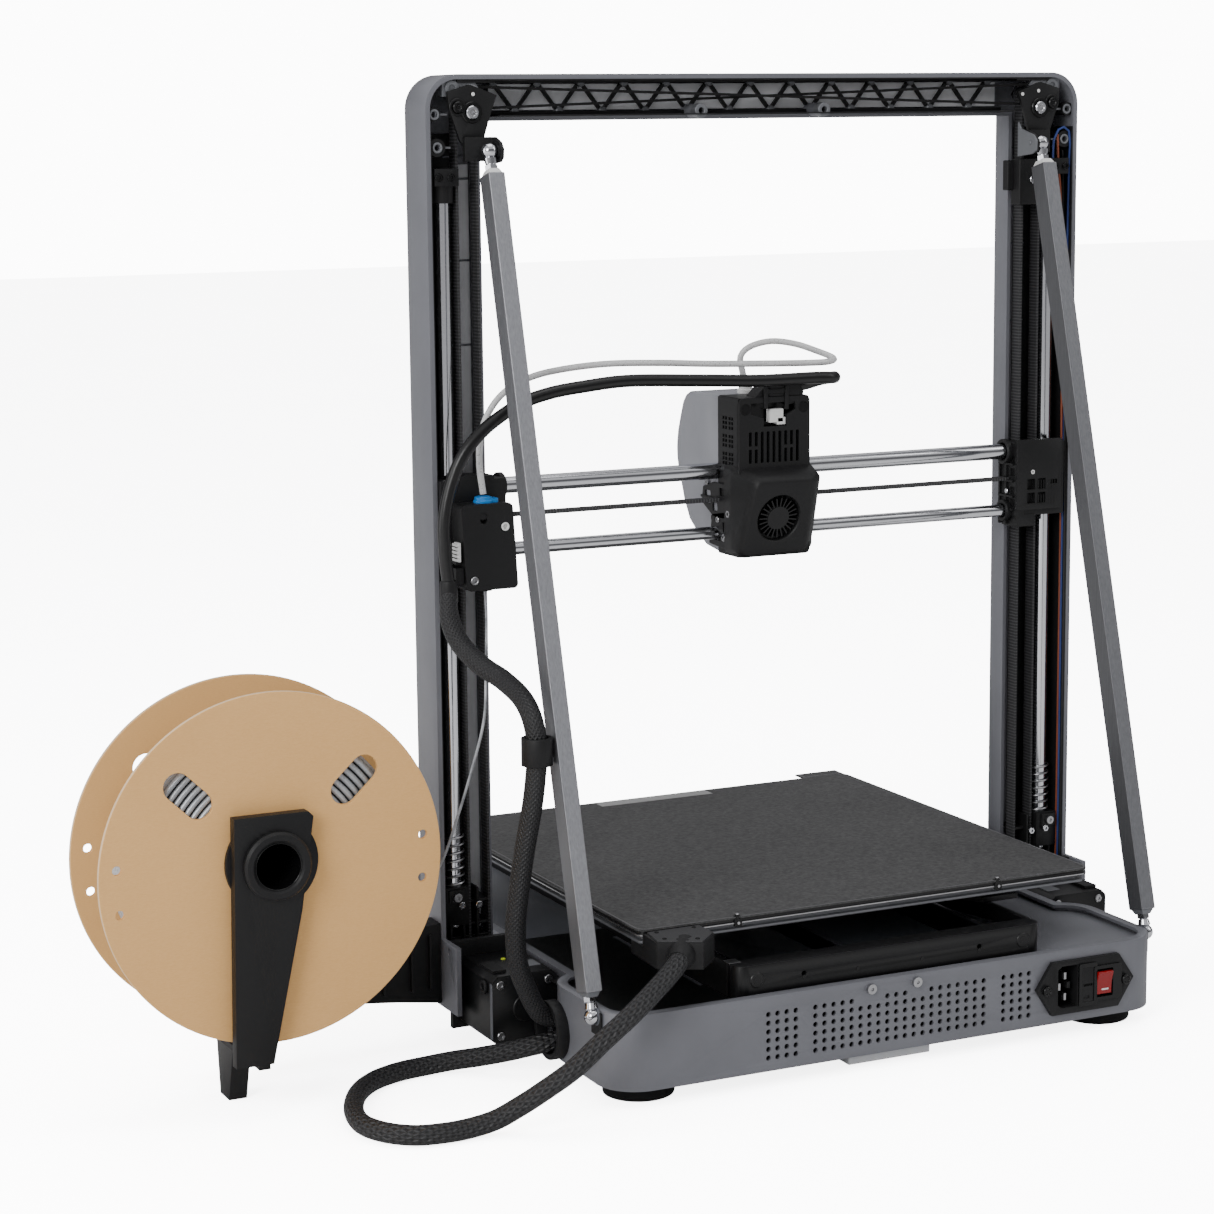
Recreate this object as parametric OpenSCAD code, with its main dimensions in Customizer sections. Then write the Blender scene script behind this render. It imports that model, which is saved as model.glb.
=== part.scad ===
// Desktop filament printer with a moving bed, portal gantry, side spool holder
// and soft cables. Millimetres. X runs along the portal, Y along the bed,
// Z is up. The origin is the middle of the base footprint on the bench.

/* [Base] */
// Depth of the base tray along Y
base_d = 400; // [300:10:500]
// Half width of the base at its wide ends
base_hw = 187; // [150:1:240]
// Half width of the base beside the portal legs
waist_hw = 173; // [140:1:230]
// Height of the base rim above the bench
base_top = 55; // [40:1:80]
// Height of the feet
foot_h = 10; // [6:1:20]
// Radius of each foot
foot_r = 21; // [10:1:30]
// Diameter of the round vents in the rear panel
vent_d = 3.2; // [2:0.1:5]

/* [Portal] */
// Half width of the portal over its outer walls
portal_hw = 225; // [180:1:280]
// Half width of the clear window in the portal
window_hw = 184; // [150:1:240]
// Height of the portal above the bench
portal_h = 579; // [400:1:700]
// Outer corner radius of the portal
portal_r = 20; // [5:1:40]
// Height of the underside of the top beam
window_top = 552; // [400:1:680]
// Half spacing of the two upright rods
z_rod_x = 211; // [160:1:260]
// Diameter of the upright rods
z_rod_d = 10; // [6:1:16]
// Half spacing of the lifting belts
z_pulley_x = 196; // [150:1:250]
// Width of the brace tubes along X
brace_w = 9.5; // [6:0.5:20]
// Depth of the brace tubes
brace_d = 13; // [8:0.5:25]

/* [Crossbar] */
// Height of the upper cross rod
x_rod_hi = 337.5; // [150:0.5:450]
// Height of the lower cross rod
x_rod_lo = 299; // [110:0.5:420]
// Diameter of the upper cross rod
x_rod_hi_d = 10; // [6:1:14]
// Diameter of the lower cross rod
x_rod_lo_d = 8; // [6:1:14]

/* [Print head] */
// Width of the print head casing
head_w = 48; // [36:1:80]
// Middle of the casing along X
head_x = 6; // [-100:1:100]
// Height of the nozzle tip
nozzle_z = 281; // [95:1:400]
// Radius of the cooling fan opening
fan_r = 13.6; // [8:0.1:16]

/* [Bed] */
// Half width of the print sheet
bed_hw = 155; // [100:1:180]
// Length of the print sheet along Y
bed_len = 300.5; // [200:0.5:360]
// Height of the print surface
bed_top = 94; // [80:1:120]
// Half spacing of the two bed rods
y_rod_x = 91; // [60:1:120]

/* [Spool] */
// Outer diameter of the spool
spool_d = 200; // [120:5:250]
// Overall width of the spool
spool_w = 60; // [40:1:80]
// Position of the spool along X
spool_x = 355.5; // [300:0.5:420]
// Height of the spool axis
spool_z = 143; // [110:0.5:200]

/* [Cables] */
// Diameter of the braided bed cable
bed_cable_d = 11.5; // [6:0.5:16]
// Diameter of the fabric sleeve beside the portal
sleeve_d = 12; // [6:0.5:16]
// Diameter of the hose to the print head
hose_d = 7.6; // [5:0.1:12]
// Diameter of the filament guide tube
guide_d = 4; // [3:0.1:6]

/* [Hidden] */
$fn = 48;
eps = 0.1;
rod_y = 26;
xrod_y = 30;
bed_rear = 166.5;
bed_front = bed_rear - bed_len;
pulley_lo = 35;
pulley_hi = 565.5;
belt_t = 1.5;
pitch_r = 6.4;
hub_r = pitch_r - belt_t / 2 - 0.05;
brace_top = [190, 50, 535];
brace_low = [190, 177, 51];
ball_r = 4.8;
rib_pitch = 28.6;
spool_y0 = 55;
spool_y1 = spool_y0 + spool_w;
hub_x = spool_x + 2;
hub_z = spool_z + 4.5;
head_x0 = head_x - head_w / 2;
head_x1 = head_x + head_w / 2;
y_drive_z = 33;
y_drive_y = 168;
x_axis_x = -2;
x_axis_z = 324.2;
gear_x = -1.2;
gear_z = 354;
fan_x = 7;
fan_z = 310;
fan_tilt = atan2(12, 45);

bed_cable_route = [
  [143, 195.8, 84.3], [151, 204, 81.5], [163, 210.5, 75.5], [185, 219, 63.5],
  [204, 222, 52], [222, 221, 38], [238, 215, 26], [250, 207, 16],
  [262, 202, 9], [278, 200, 6], [294, 200, 6], [308, 196, 6],
  [320, 184, 6], [326, 166, 6], [322, 142, 6], [310, 117, 6],
  [294, 100, 6], [275, 91, 6], [256, 88, 6], [241, 92, 8],
  [227, 101, 11], [213, 111, 15], [200, 119, 19], [187.2, 122, 21]];
sleeve_route = [
  [225.1, 61.3, 282.4], [226, 64, 266], [223, 72, 252], [216, 86, 241],
  [209, 102, 234], [205.5, 121, 226], [205, 134, 215], [205, 139, 200],
  [207, 141, 185], [210, 142, 167], [214, 140, 143], [217, 137, 116],
  [218, 134, 95], [215, 130, 73], [207, 126, 54], [200, 123.5, 41.5],
  [194, 122.2, 36.8], [188.4, 122, 35.6]];
hose_route = [
  [-12.7, 46, 388.6], [-22, 46, 390], [-31, 48.5, 392.5], [-36.5, 55, 394],
  [-31, 61.5, 394.5], [-18, 62, 395], [19, 62, 395], [60, 62, 397],
  [107, 62, 399], [137, 62, 397], [160, 62, 394], [180, 62, 388],
  [200, 62, 376], [214, 62, 362], [222, 61, 345], [227, 61, 324],
  [227, 61, 304], [225, 61, 284]];
guide_route = [
  [8, 23, 390], [11, 24, 399], [13, 26, 407], [8, 29, 413], [-5, 32, 416],
  [-20, 36, 414], [-34, 40, 409], [-42, 45, 405], [-36, 51, 403.5],
  [-20, 54, 403.5], [13, 54, 404.5], [50, 54, 406], [83, 54, 408],
  [118, 54, 409], [148, 54, 407], [168, 53, 403], [184, 52, 395],
  [194, 51, 383], [199, 51, 369], [200, 51, 353], [198, 51, 336]];
strand_route = [
  [198, 51, 280], [198, 53, 262], [202, 60, 230], [207, 67, 203],
  [220, 76, 174], [231, 81, 150], [243, 85, 126], [262, 85, 100],
  [290, 85, 79], [325, 85, 65], [355.5, 85, 61.6]];

// ---- helpers ----
module xz(y0, y1) {
  translate([0, y1, 0]) rotate([90, 0, 0]) linear_extrude(y1 - y0) children();
}
module yz(x0, x1) {
  translate([x0, 0, 0]) rotate([90, 0, 90]) linear_extrude(x1 - x0) children();
}
module ycyl(x, z, r, y0, y1) {
  translate([x, y1, z]) rotate([90, 0, 0]) cylinder(r = r, h = y1 - y0);
}
module xcyl(y, z, r, x0, x1) {
  translate([x0, y, z]) rotate([0, 90, 0]) cylinder(r = r, h = x1 - x0);
}
module zcyl(x, y, r, z0, z1) {
  translate([x, y, z0]) cylinder(r = r, h = z1 - z0);
}
module box(a, b) {
  translate(a) cube([b[0] - a[0], b[1] - a[1], b[2] - a[2]]);
}
module rrect(x0, y0, x1, y1, r) {
  translate([x0 + r, y0]) square([x1 - x0 - 2 * r, y1 - y0]);
  translate([x0, y0 + r]) square([x1 - x0, y1 - y0 - 2 * r]);
  for (x = [x0 + r, x1 - r], y = [y0 + r, y1 - r])
    translate([x, y]) circle(r);
}
module both() {
  children();
  mirror([1, 0, 0]) children();
}

function unit(v) = v / norm(v);
function tangent(p, i) =
  i == 0 ? unit(p[1] - p[0]) :
  i == len(p) - 1 ? unit(p[i] - p[i - 1]) :
  unit(unit(p[i + 1] - p[i]) + unit(p[i] - p[i - 1]));
function carry(n, t) = unit(n - (n * t) * t);
function side_start(t) =
  carry(abs(t[2]) < 0.9 ? [0, 0, 1] : [1, 0, 0], t);
function normals(p, i = 0, acc = []) =
  i == len(p) ? acc :
  normals(p, i + 1, concat(acc, [
    i == 0 ? side_start(tangent(p, 0)) : carry(acc[i - 1], tangent(p, i))]));
module tube(p, d, sides = 10) {
  n = normals(p);
  last = (len(p) - 1) * sides;
  pts = [for (i = [0 : len(p) - 1])
    let (t = tangent(p, i), b = cross(t, n[i]))
    for (j = [0 : sides - 1])
      p[i] + d / 2 * (cos(360 * j / sides) * n[i] + sin(360 * j / sides) * b)];
  walls = [for (i = [0 : len(p) - 2], j = [0 : sides - 1], k = [0, 1])
    let (a = i * sides + j, b = i * sides + (j + 1) % sides)
      k == 0 ? [a, a + sides, b + sides] : [a, b + sides, b]];
  caps = [[for (j = [0 : sides - 1]) j],
          [for (j = [sides - 1 : -1 : 0]) last + j]];
  polyhedron(points = pts, faces = concat(walls, caps), convexity = 8);
}
module belt_loop(x, w0, w1) {
  difference() {
    xz(w0, w1) stadium(x, pulley_lo, pulley_hi, pitch_r + belt_t / 2);
    xz(w0 - 1, w1 + 1) stadium(x, pulley_lo, pulley_hi, pitch_r - belt_t / 2);
  }
}
module stadium(x, z0, z1, r) {
  translate([x - r, z0]) square([2 * r, z1 - z0]);
  translate([x, z0]) circle(r);
  translate([x, z1]) circle(r);
}
module pulley(x, z, y0, y1, bore) {
  difference() {
    union() {
      ycyl(x, z, hub_r, y0, y1);
      ycyl(x, z, 7.8, y0, y0 + 1);
      ycyl(x, z, 7.8, y1 - 1, y1);
    }
    ycyl(x, z, bore, y0 - 1, y1 + 1);
  }
}

// ---- base ----
module base_outline(g, z0, z1) {
  translate([0, 0, z0]) linear_extrude(z1 - z0) {
    rrect(-base_hw + g, 104 + g, base_hw - g, base_d / 2 - g, 24 - g);
    rrect(-base_hw + g, -base_d / 2 + g, base_hw - g, -10 - g, 24 - g);
    translate([-waist_hw + g, -60])
      square([2 * waist_hw - 2 * g, 200]);
  }
}
module vent_columns() {
  for (i = [0 : 19], j = [0 : 5])
    if (j < 5 || (i != 5 && i != 6 && i != 7 && i != 11 && i != 12))
      translate([58 - 6.05 * i, 18 + 5.2 * j]) circle(d = vent_d, $fn = 20);
  for (i = [0 : 3], j = [0 : 5], s = [-1, 1])
    translate([s * (71 + 6 * i), 18 + 5.2 * j]) circle(d = vent_d, $fn = 20);
}
module base_tray() {
  color("slategray") {
    difference() {
      base_outline(0, foot_h, base_top);
      base_outline(2, foot_h + 2, base_top - 2);
      base_outline(6, base_top - 3, base_top + 1);
      xz(197, 201) vent_columns();
      box([-153, 195, 19], [-105, 201, 47]);
      for (x = [-128 - 28.5, -128 + 28.5])
        ycyl(x, 32.5, 1.5, 195, 201);
      for (x = [21, -10])
        ycyl(x, 50, 1.5, 195, 201);
    }
    for (x = [-40, 25], y = [-170, -60, 60])
      zcyl(x, y, 5, foot_h + 1, 48);
    for (x = [-150, 150], y = [-150, 150])
      zcyl(x, y, 5, foot_h + 1, 48);
    for (s = [-1, 1])
      box([s * 9.5 - 1.5, -176, foot_h + 1], [s * 9.5 + 1.5, -160, 42]);
    xcyl(-y_drive_y, y_drive_z, 2.5, -9, 9);
    box([-24, 100, 3], [31, 192, foot_h + 1]);
  }
}
module base_feet() {
  color("black")
    for (x = [-158, 158], y = [-170, 170])
      difference() {
        zcyl(x, y, foot_r, 0, foot_h);
        zcyl(x, y, 6, -1, 3);
      }
}
module deck_plate() {
  color("dimgray")
    difference() {
      box([-waist_hw + 3, -196, 48], [waist_hw - 3, 196, 50]);
      box([-10, -182, 47], [10, 160, 51]);
      box([-60, 145, 47], [12, 191, 51]);
      box([-160, 165, 47], [-100, 201, 51]);
    }
}
module inlet_body() {
  color("black") {
    difference() {
      union() {
        xz(200, 203) polygon([[-93, 33], [-104, 49], [-152, 49],
          [-163, 33], [-152, 16], [-104, 16]]);
        box([-152.5, 172, 19.5], [-105.5, 200.5, 46.5]);
      }
      xz(186, 204) polygon([[-108, 44], [-111, 46], [-122, 46], [-122, 20],
        [-111, 20], [-108, 22]]);
      box([-151.6, 190, 23.5], [-136.4, 204, 41.5]);
      for (x = [-128 - 28.5, -128 + 28.5])
        ycyl(x, 32.5, 1.5, 199, 204);
    }
    xcyl(198, 32.5, 1.2, -152, -136);
    difference() {
      box([-133, 202.5, 21], [-123.5, 204, 45]);
      box([-130, 203.4, 24], [-126, 205, 26]);
    }
    for (p = [[-114, 39.5], [-117.5, 33], [-114, 26]])
      box([p[0] - 1.2, 184, p[1] - 2], [p[0] + 1.2, 200, p[1] + 2]);
  }
}
module rocker_switch() {
  color("red")
    difference() {
      yz(-151, -137) polygon([[194, 28], [194, 37], [204.5, 39.6],
        [206.6, 39.4], [204.4, 32.5], [204, 25.4], [201.5, 25.2]]);
      xcyl(198, 32.5, 1.25, -152, -136);
    }
}
module screw_y(x, z, y0, y1, r = 3) {
  difference() {
    union() {
      ycyl(x, z, 1.5, y0, y1 - 1.5);
      ycyl(x, z, r, y1 - 2, y1);
    }
    translate([x, y1 + 1, z]) rotate([90, 0, 0]) cylinder(r = 1.2, h = 2, $fn = 6);
  }
}
module root_screws() {
  color("silver") {
    for (x = [-128 - 28.5, -128 + 28.5])
      screw_y(x, 32.5, 196, 205, 2.8);
    for (x = [21, -10])
      screw_y(x, 50, 196.3, 202);
    both() {
      screw_y(205, 560, 37.5, 41);
      screw_y(z_pulley_x, 557, 37.5, 41, 3.4);
      screw_y(213, 90, 31.6, 38, 2.6);
    }
  }
}
module power_supply() {
  color("silver")
    difference() {
      box([-165, -100, foot_h + 2], [-65, 100, 42]);
      for (i = [0 : 9])
        box([-155, -80 + 16 * i, 40], [-75, -74 + 16 * i, 43]);
    }
}
module control_board() {
  color("seagreen") {
    difference() {
      box([40, -60, 20], [130, 60, 21.6]);
      for (x = [44, 126], y = [-56, 56])
        zcyl(x, y, 1.6, 19, 23);
    }
    for (x = [44, 126], y = [-56, 56])
      difference() {
        zcyl(x, y, 3, foot_h + 2, 20);
        zcyl(x, y, 1.4, foot_h, 22);
      }
    for (i = [0 : 4])
      box([50 + 15 * i, 20, 21.6], [60 + 15 * i, 32, 30]);
    box([60, -30, 21.6], [80, -10, 24]);
    box([44, -52, 21.6], [120, -40, 32]);
    box([100, -30, 21.6], [120, 5, 26]);
  }
}

// ---- bed drive ----
module y_frame() {
  color("black") {
    for (s = [-1, 1])
      difference() {
        translate([0, 0, 50]) linear_extrude(21)
          rrect(-104, s * 183 - 7, 104, s * 183 + 7, 6);
        for (x = [-y_rod_x, y_rod_x])
          ycyl(x, 62, 4, s * 183 - 8, s * 183 + 8);
        box([-80, s * 183 - 8, 49], [80, s * 183 + 8, 54]);
        for (x = [-60, 60])
          ycyl(x, 62, 1.6, s * 183 - 8, s * 183 + 8);
      }
    for (s = [-1, 1]) {
      box([s * 102 - 2, -178, 50], [s * 102 + 2, 178, 71]);
      box([s * 92 - 12, -178, 50], [s * 92 + 12, 178, 53]);
    }
  }
}
module y_rods() {
  color("silver")
    for (x = [-y_rod_x, y_rod_x])
      ycyl(x, 62, 4, -190, 190);
}
module y_motor() {
  color("black") {
    difference() {
      box([-55, y_drive_y - 21, foot_h + 2], [-10, y_drive_y + 21, 54]);
      for (y = [-15.5, 15.5], z = [-15.5, 15.5])
        xcyl(y_drive_y + y, y_drive_z + z, 1.5, -14, -9);
    }
    xcyl(y_drive_y, y_drive_z, 11, -11, -8);
    xcyl(y_drive_y, y_drive_z, 2.5, -9, 8);
  }
}
module pulley_x(y, x0, x1, bore) {
  difference() {
    union() {
      xcyl(y, y_drive_z, hub_r, x0, x1);
      xcyl(y, y_drive_z, 7.8, x0, x0 + 1);
      xcyl(y, y_drive_z, 7.8, x1 - 1, x1);
    }
    xcyl(y, y_drive_z, bore, x0 - 1, x1 + 1);
  }
}
module y_motor_pulley() {
  color("silver") pulley_x(y_drive_y, -5, 5, 2.55);
}
module y_idler() {
  color("silver") pulley_x(-y_drive_y, -5, 5, 2.55);
}
module y_belt() {
  color("black")
    difference() {
      yz(-3, 3) flat_loop(pitch_r + belt_t / 2);
      yz(-4, 4) flat_loop(pitch_r - belt_t / 2);
    }
}
module flat_loop(r) {
  translate([-y_drive_y, y_drive_z - r]) square([2 * y_drive_y, 2 * r]);
  translate([-y_drive_y, y_drive_z]) circle(r);
  translate([y_drive_y, y_drive_z]) circle(r);
}

// ---- portal ----
module motor_brackets() {
  color("black")
    both() {
      difference() {
        box([waist_hw, 43, 12], [222, 47, 66]);
        ycyl(z_pulley_x, pulley_lo, 11.2, 42, 48);
        for (x = [-15.5, 15.5], z = [-15.5, 15.5])
          ycyl(z_pulley_x + x, pulley_lo + z, 1.6, 42, 48);
      }
      box([waist_hw, 8, 26], [window_hw, 44, 52]);
      box([waist_hw, 47, 12], [waist_hw + 1.6, 96, 50]);
    }
}
module portal_outline(g) {
  rrect(-portal_hw + g, 0, portal_hw - g, portal_h - g, portal_r - g);
}
module portal_frame() {
  color("slategray") {
    difference() {
      xz(7, 39) portal_outline(0);
      xz(10, 40) portal_cavity();
      box([-window_hw, 0, -1], [window_hw, 60, window_top]);
      box([-window_hw - 2.6, 22, -1], [window_hw + 2.6, 40, window_top + 3]);
      box([-portal_hw - 1, 0, -1], [portal_hw + 1, 60, 24]);
    }
    both() {
      difference() {
        box([222, 38, 24], [225, 62, 66]);
        xcyl(50, 61, 2.2, 221, 226);
      }
      boss(219, 556, 4);
      boss(217, 537, 5);
    }
    boss(45, 557, 4.2);
    boss(-40, 557, 4.2);
  }
}
module portal_cavity() {
  difference() {
    portal_outline(3);
    translate([-window_hw - 2.5, -1])
      square([2 * window_hw + 5, window_top + 3.5]);
  }
}
module boss(x, z, r) {
  difference() {
    ycyl(x, z, r, 9.5, 36);
    ycyl(x, z, 1.8, 20, 37);
  }
}
module beam_insert() {
  color("black") {
    difference() {
      union() {
        for (i = [0 : 11], s = [-1, 1])
          rib(160.3 - rib_pitch * i, s);
        box([-178, 10, 574], [178, 24, 576]);
        box([-178, 10, 555.5], [178, 22, 557.5]);
      }
      for (x = [45, -40])
        ycyl(x, 557, 4.4, 9, 25);
    }
    both()
      difference() {
        union() {
          xz(36.5, 39) polygon([[211, 569], [197, 573], [180, 567], [184, 556],
            [189, 540], [192, 538], [201, 538], [203.5, 541], [210, 559]]);
          xz(10, 37) translate([180, 574]) square([24, 2]);
        }
        ycyl(205, 560, 1.6, 35, 40);
        ycyl(z_pulley_x, 557, 1.6, 35, 40);
      }
    both()
      ycyl(z_pulley_x, pulley_hi, 2.5, 10, 37);
  }
}
module rib(x, s) {
  xz(10, 20)
    polygon([[x - s * 1.2, 557], [x + s * 1.2, 557],
      [x + s * (rib_pitch / 2 + 1.2), 575], [x + s * (rib_pitch / 2 - 1.2), 575]]);
}
module z_rods() {
  color("silver")
    both()
      zcyl(z_rod_x, rod_y, z_rod_d / 2, 70, 525);
}
module rod_clamps() {
  color("black")
    both() {
      difference() {
        union() {
          box([204.5, 10, 72], [219.4, 34, 95]);
          box([208, 33, 86], [218, 36, 94]);
        }
        zcyl(z_rod_x, rod_y, z_rod_d / 2, 71, 96);
        ycyl(213, 90, 1.5, 25, 37);
      }
      difference() {
        union() {
          box([204.5, 10, 515], [219.4, 38, 525]);
          zcyl(z_rod_x, rod_y, 7.4, 505, 516);
        }
        zcyl(z_rod_x, rod_y, z_rod_d / 2, 504, 526);
      }
    }
}
module buffer_springs() {
  color("silver")
    both()
      tube([for (i = [0 : 66])
        [z_rod_x + 6.3 * cos(30 * i), rod_y + 6.3 * sin(30 * i),
         95.7 + i * 0.47]], 1.2, 6);
}
module nema17(x0, y0, z0, len_y) {
  difference() {
    box([x0, y0, z0], [x0 + 42, y0 + len_y, z0 + 42]);
    for (x = [5.5, 36.5], z = [5.5, 36.5])
      ycyl(x0 + x, z0 + z, 1.5, y0 - 1, y0 + 5);
    for (x = [x0, x0 + 42], z = [z0, z0 + 42])
      translate([x, y0 - 1, z]) rotate([0, 45, 0])
        translate([-2.5, 0, -2.5]) cube([5, len_y + 2, 5]);
  }
  ycyl(x0 + 21, z0 + 21, 11, y0 - 2, y0 + 1);
  ycyl(x0 + 21, z0 + 21, 2.5, y0 - 27, y0);
}
module z_motor_left() {
  color("black") nema17(z_pulley_x - 21, 47, pulley_lo - 21, 49);
}
module z_motor_right() {
  color("black") nema17(-z_pulley_x - 21, 47, pulley_lo - 21, 49);
}
module z_drive_pulley_left() {
  color("silver") pulley(z_pulley_x, pulley_lo, 20.3, 32, 2.55);
}
module z_drive_pulley_right() {
  color("silver") pulley(-z_pulley_x, pulley_lo, 20.3, 32, 2.55);
}
module z_top_pulley_left() {
  color("silver") pulley(z_pulley_x, pulley_hi, 20.3, 36.3, 2.55);
}
module z_top_pulley_right() {
  color("silver") pulley(-z_pulley_x, pulley_hi, 20.3, 36.3, 2.55);
}
module z_belts() {
  color("black")
    both()
      belt_loop(z_pulley_x, 21.4, 30.2);
}
function cross_path(n = 12, m = 8) =
  let (b = asin(2 * pitch_r / (2 * z_pulley_x)), a = 90 + b, r = pitch_r,
       c = z_pulley_x, h = pulley_hi, x0 = c - r * sin(b), z0 = r * cos(b))
  concat(
    [for (i = [0 : n]) let (t = a - 2 * a * i / n)
      [c + r * cos(t), 33, h + r * sin(t)]],
    [for (i = [1 : m - 1]) let (u = i / m)
      [x0 - 2 * x0 * u, 33 - 2.8 * sin(180 * u), h - z0 + 2 * z0 * u]],
    [for (i = [0 : n]) let (t = 180 - a + 2 * a * i / n)
      [-c + r * cos(t), 33, h + r * sin(t)]],
    [for (i = [1 : m - 1]) let (u = i / m)
      [-x0 + 2 * x0 * u, 33 + 2.8 * sin(180 * u), h - z0 + 2 * z0 * u]]);
module sync_belt() {
  p = cross_path();
  q = len(p);
  pts = [for (i = [0 : q - 1])
    let (t = unit(p[(i + 1) % q] - p[(i + q - 1) % q]),
         n = unit(cross([0, 1, 0], t)), b = cross(t, n))
    for (k = [[1, 1], [-1, 1], [-1, -1], [1, -1]])
      p[i] + k[0] * belt_t / 2 * n + k[1] * 1.9 * b];
  walls = [for (i = [0 : q - 1], j = [0 : 3], k = [0, 1])
    let (a = i * 4 + j, b = i * 4 + (j + 1) % 4,
         c = ((i + 1) % q) * 4 + (j + 1) % 4, d = ((i + 1) % q) * 4 + j)
      k == 0 ? [a, d, c] : [a, c, b]];
  color("black") polyhedron(points = pts, faces = walls, convexity = 8);
}
brace_tilt = atan2(brace_low[1] - brace_top[1], brace_top[2] - brace_low[2]);
brace_len = norm([0, brace_low[1] - brace_top[1], brace_top[2] - brace_low[2]]);
module brace_frame() {
  translate([brace_low[0], brace_low[1], brace_low[2]])
    rotate([brace_tilt, 0, 0]) children();
}
module braces() {
  color("silver")
    both()
      brace_frame()
        translate([-brace_w / 2, -brace_d / 2, 14])
          cube([brace_w, brace_d, brace_len - 28]);
}
module brace_balls() {
  color("silver")
    both()
      difference() {
        brace_frame()
          for (m = [0, 1])
            translate([0, 0, m * brace_len]) {
              sphere(r = ball_r);
              mirror([0, 0, m]) cylinder(r = 2.6, h = 14);
            }
        box([180, 165, 40], [base_hw, 190, 60]);
      }
}
module brace_brackets() {
  color("black")
    both() {
      difference() {
        union() {
          box([183, 39, 529], [202, 42.5, 543]);
          yz(183, 185) polygon([[39, 527], [52, 528.5], [55.5, 531],
            [56, 536], [53, 540], [45, 543], [39, 543]]);
          xcyl(50, 535, 2, 184, 188);
          xcyl(50, 535, 3.6, 184, 185.8);
        }
        translate([brace_low[0], 50, 535]) sphere(r = ball_r);
      }
      difference() {
        union() {
          yz(base_hw, base_hw + 1) polygon([[171, 40], [183, 40], [183, 54],
            [171, 54]]);
          xcyl(brace_low[1], brace_low[2], 2, base_hw, 189);
        }
        translate(brace_low) sphere(r = ball_r);
      }
    }
}
module cable_clips() {
  color("black") {
    difference() {
      yz(base_hw, base_hw + 7) translate([122, 28]) circle(17.5);
      yz(base_hw - 1, base_hw + 8) translate([122, 28]) circle(14.2);
    }
    difference() {
      union() {
        zcyl(205.2, 139.2, 9, 191, 207);
        box([194.75, 128, 194], [206, 137, 204]);
      }
      zcyl(205.2, 139.2, 6.9, 190, 208);
    }
  }
}
module ribbon_wires() {
  color("steelblue")
    for (i = [0 : 2])
      tube([[-220.6, 33 + 2.2 * i, 530], [-220.6, 33 + 2.2 * i, 300],
        [-220.6, 33 + 2.2 * i, 64], [-219, 33 + 2.2 * i, 52],
        [-212, 33 + 2.2 * i, 45], [-184.2, 33 + 2.2 * i, 44 - 2.2 * i]],
        1.6, 8);
}
module spool_arm() {
  color("black") {
    xz(22, 38) polygon([[portal_hw, 76], [portal_hw, 26], [253, 30],
      [290, 34], [378, 34], [378, 42], [330, 50], [250, 74]]);
    xz(36, 118) polygon([[362, 32], [370, 32], [378, 36], [378, 40],
      [362, 40]]);
    yz(363, 374) polygon([[58, 33], [88, 33], [78, 0], [62, 0]]);
    box([361, 104, 28], [368, 116, 34]);
  }
}
module spool_hub() {
  color("black")
    difference() {
      union() {
        xz(118, 125) polygon([[335, 173], [338, 176], [381, 176], [384, 34],
          [362, 34], [343, 120]]);
        ycyl(hub_x, hub_z, 18.5, 52, 129);
        ycyl(hub_x, hub_z, 27, 115.5, 118.5);
      }
      ycyl(hub_x, hub_z, 13.5, 50, 130);
    }
}

// ---- crossbar ----
module block_bores(s) {
  zcyl(s * z_rod_x, rod_y, z_rod_d / 2 + 0.05, 280, 360);
  for (x = [z_pulley_x - pitch_r, z_pulley_x + pitch_r])
    box([min(s * (x - 1.2), s * (x + 1.2)), 20.9, 280],
        [max(s * (x - 1.2), s * (x + 1.2)), 30.8, 360]);
  xcyl(xrod_y, x_rod_hi, x_rod_hi_d / 2, s * 183.2 - 3.3, s * 183.2 + 3.3);
  xcyl(xrod_y, x_rod_lo, x_rod_lo_d / 2, s * 183.2 - 3.3, s * 183.2 + 3.3);
  box([s * 182 - 2.5, 27, 317.3], [s * 182 + 2.5, 33, 318.7]);
}
module x_block_left() {
  color("black")
    difference() {
      union() {
        box([180, 22.4, 290], [187.3, 43, 343.5]);
        box([187.2, 19, 290], [221.5, 43, 343.5]);
        box([187.2, 24, 343], [214, 43, 345.5]);
      }
      block_bores(1);
      box([179, 40, 305], [181.5, 44, 312]);
    }
}
module x_block_right() {
  color("black")
    difference() {
      union() {
        box([-187.3, 22.4, 296], [-180, 41, 343.5]);
        box([-217.5, 19, 296], [-187.2, 40.5, 343.5]);
        box([-214, 40, 300], [-180, 43, 345.5]);
        box([-195, 24, 289], [-181, 41, 297]);
      }
      block_bores(-1);
      for (x = [-199, -191], z = [304, 313])
        box([x - 3, 39, z], [x + 3, 44, z + 7]);
      for (z = [302, 310, 322, 330])
        box([-181.5, 35, z], [-179, 40, z + 5]);
      box([-211, 39, 316], [-206, 44, 319]);
    }
}
module x_rods() {
  color("silver") {
    xcyl(xrod_y, x_rod_hi, x_rod_hi_d / 2, -186.5, 186.5);
    xcyl(xrod_y, x_rod_lo, x_rod_lo_d / 2, -186.5, 186.5);
  }
}
module x_belt() {
  color("black")
    box([-184.5, 27, 317.3], [184.5, 33, 318.7]);
}
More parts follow.
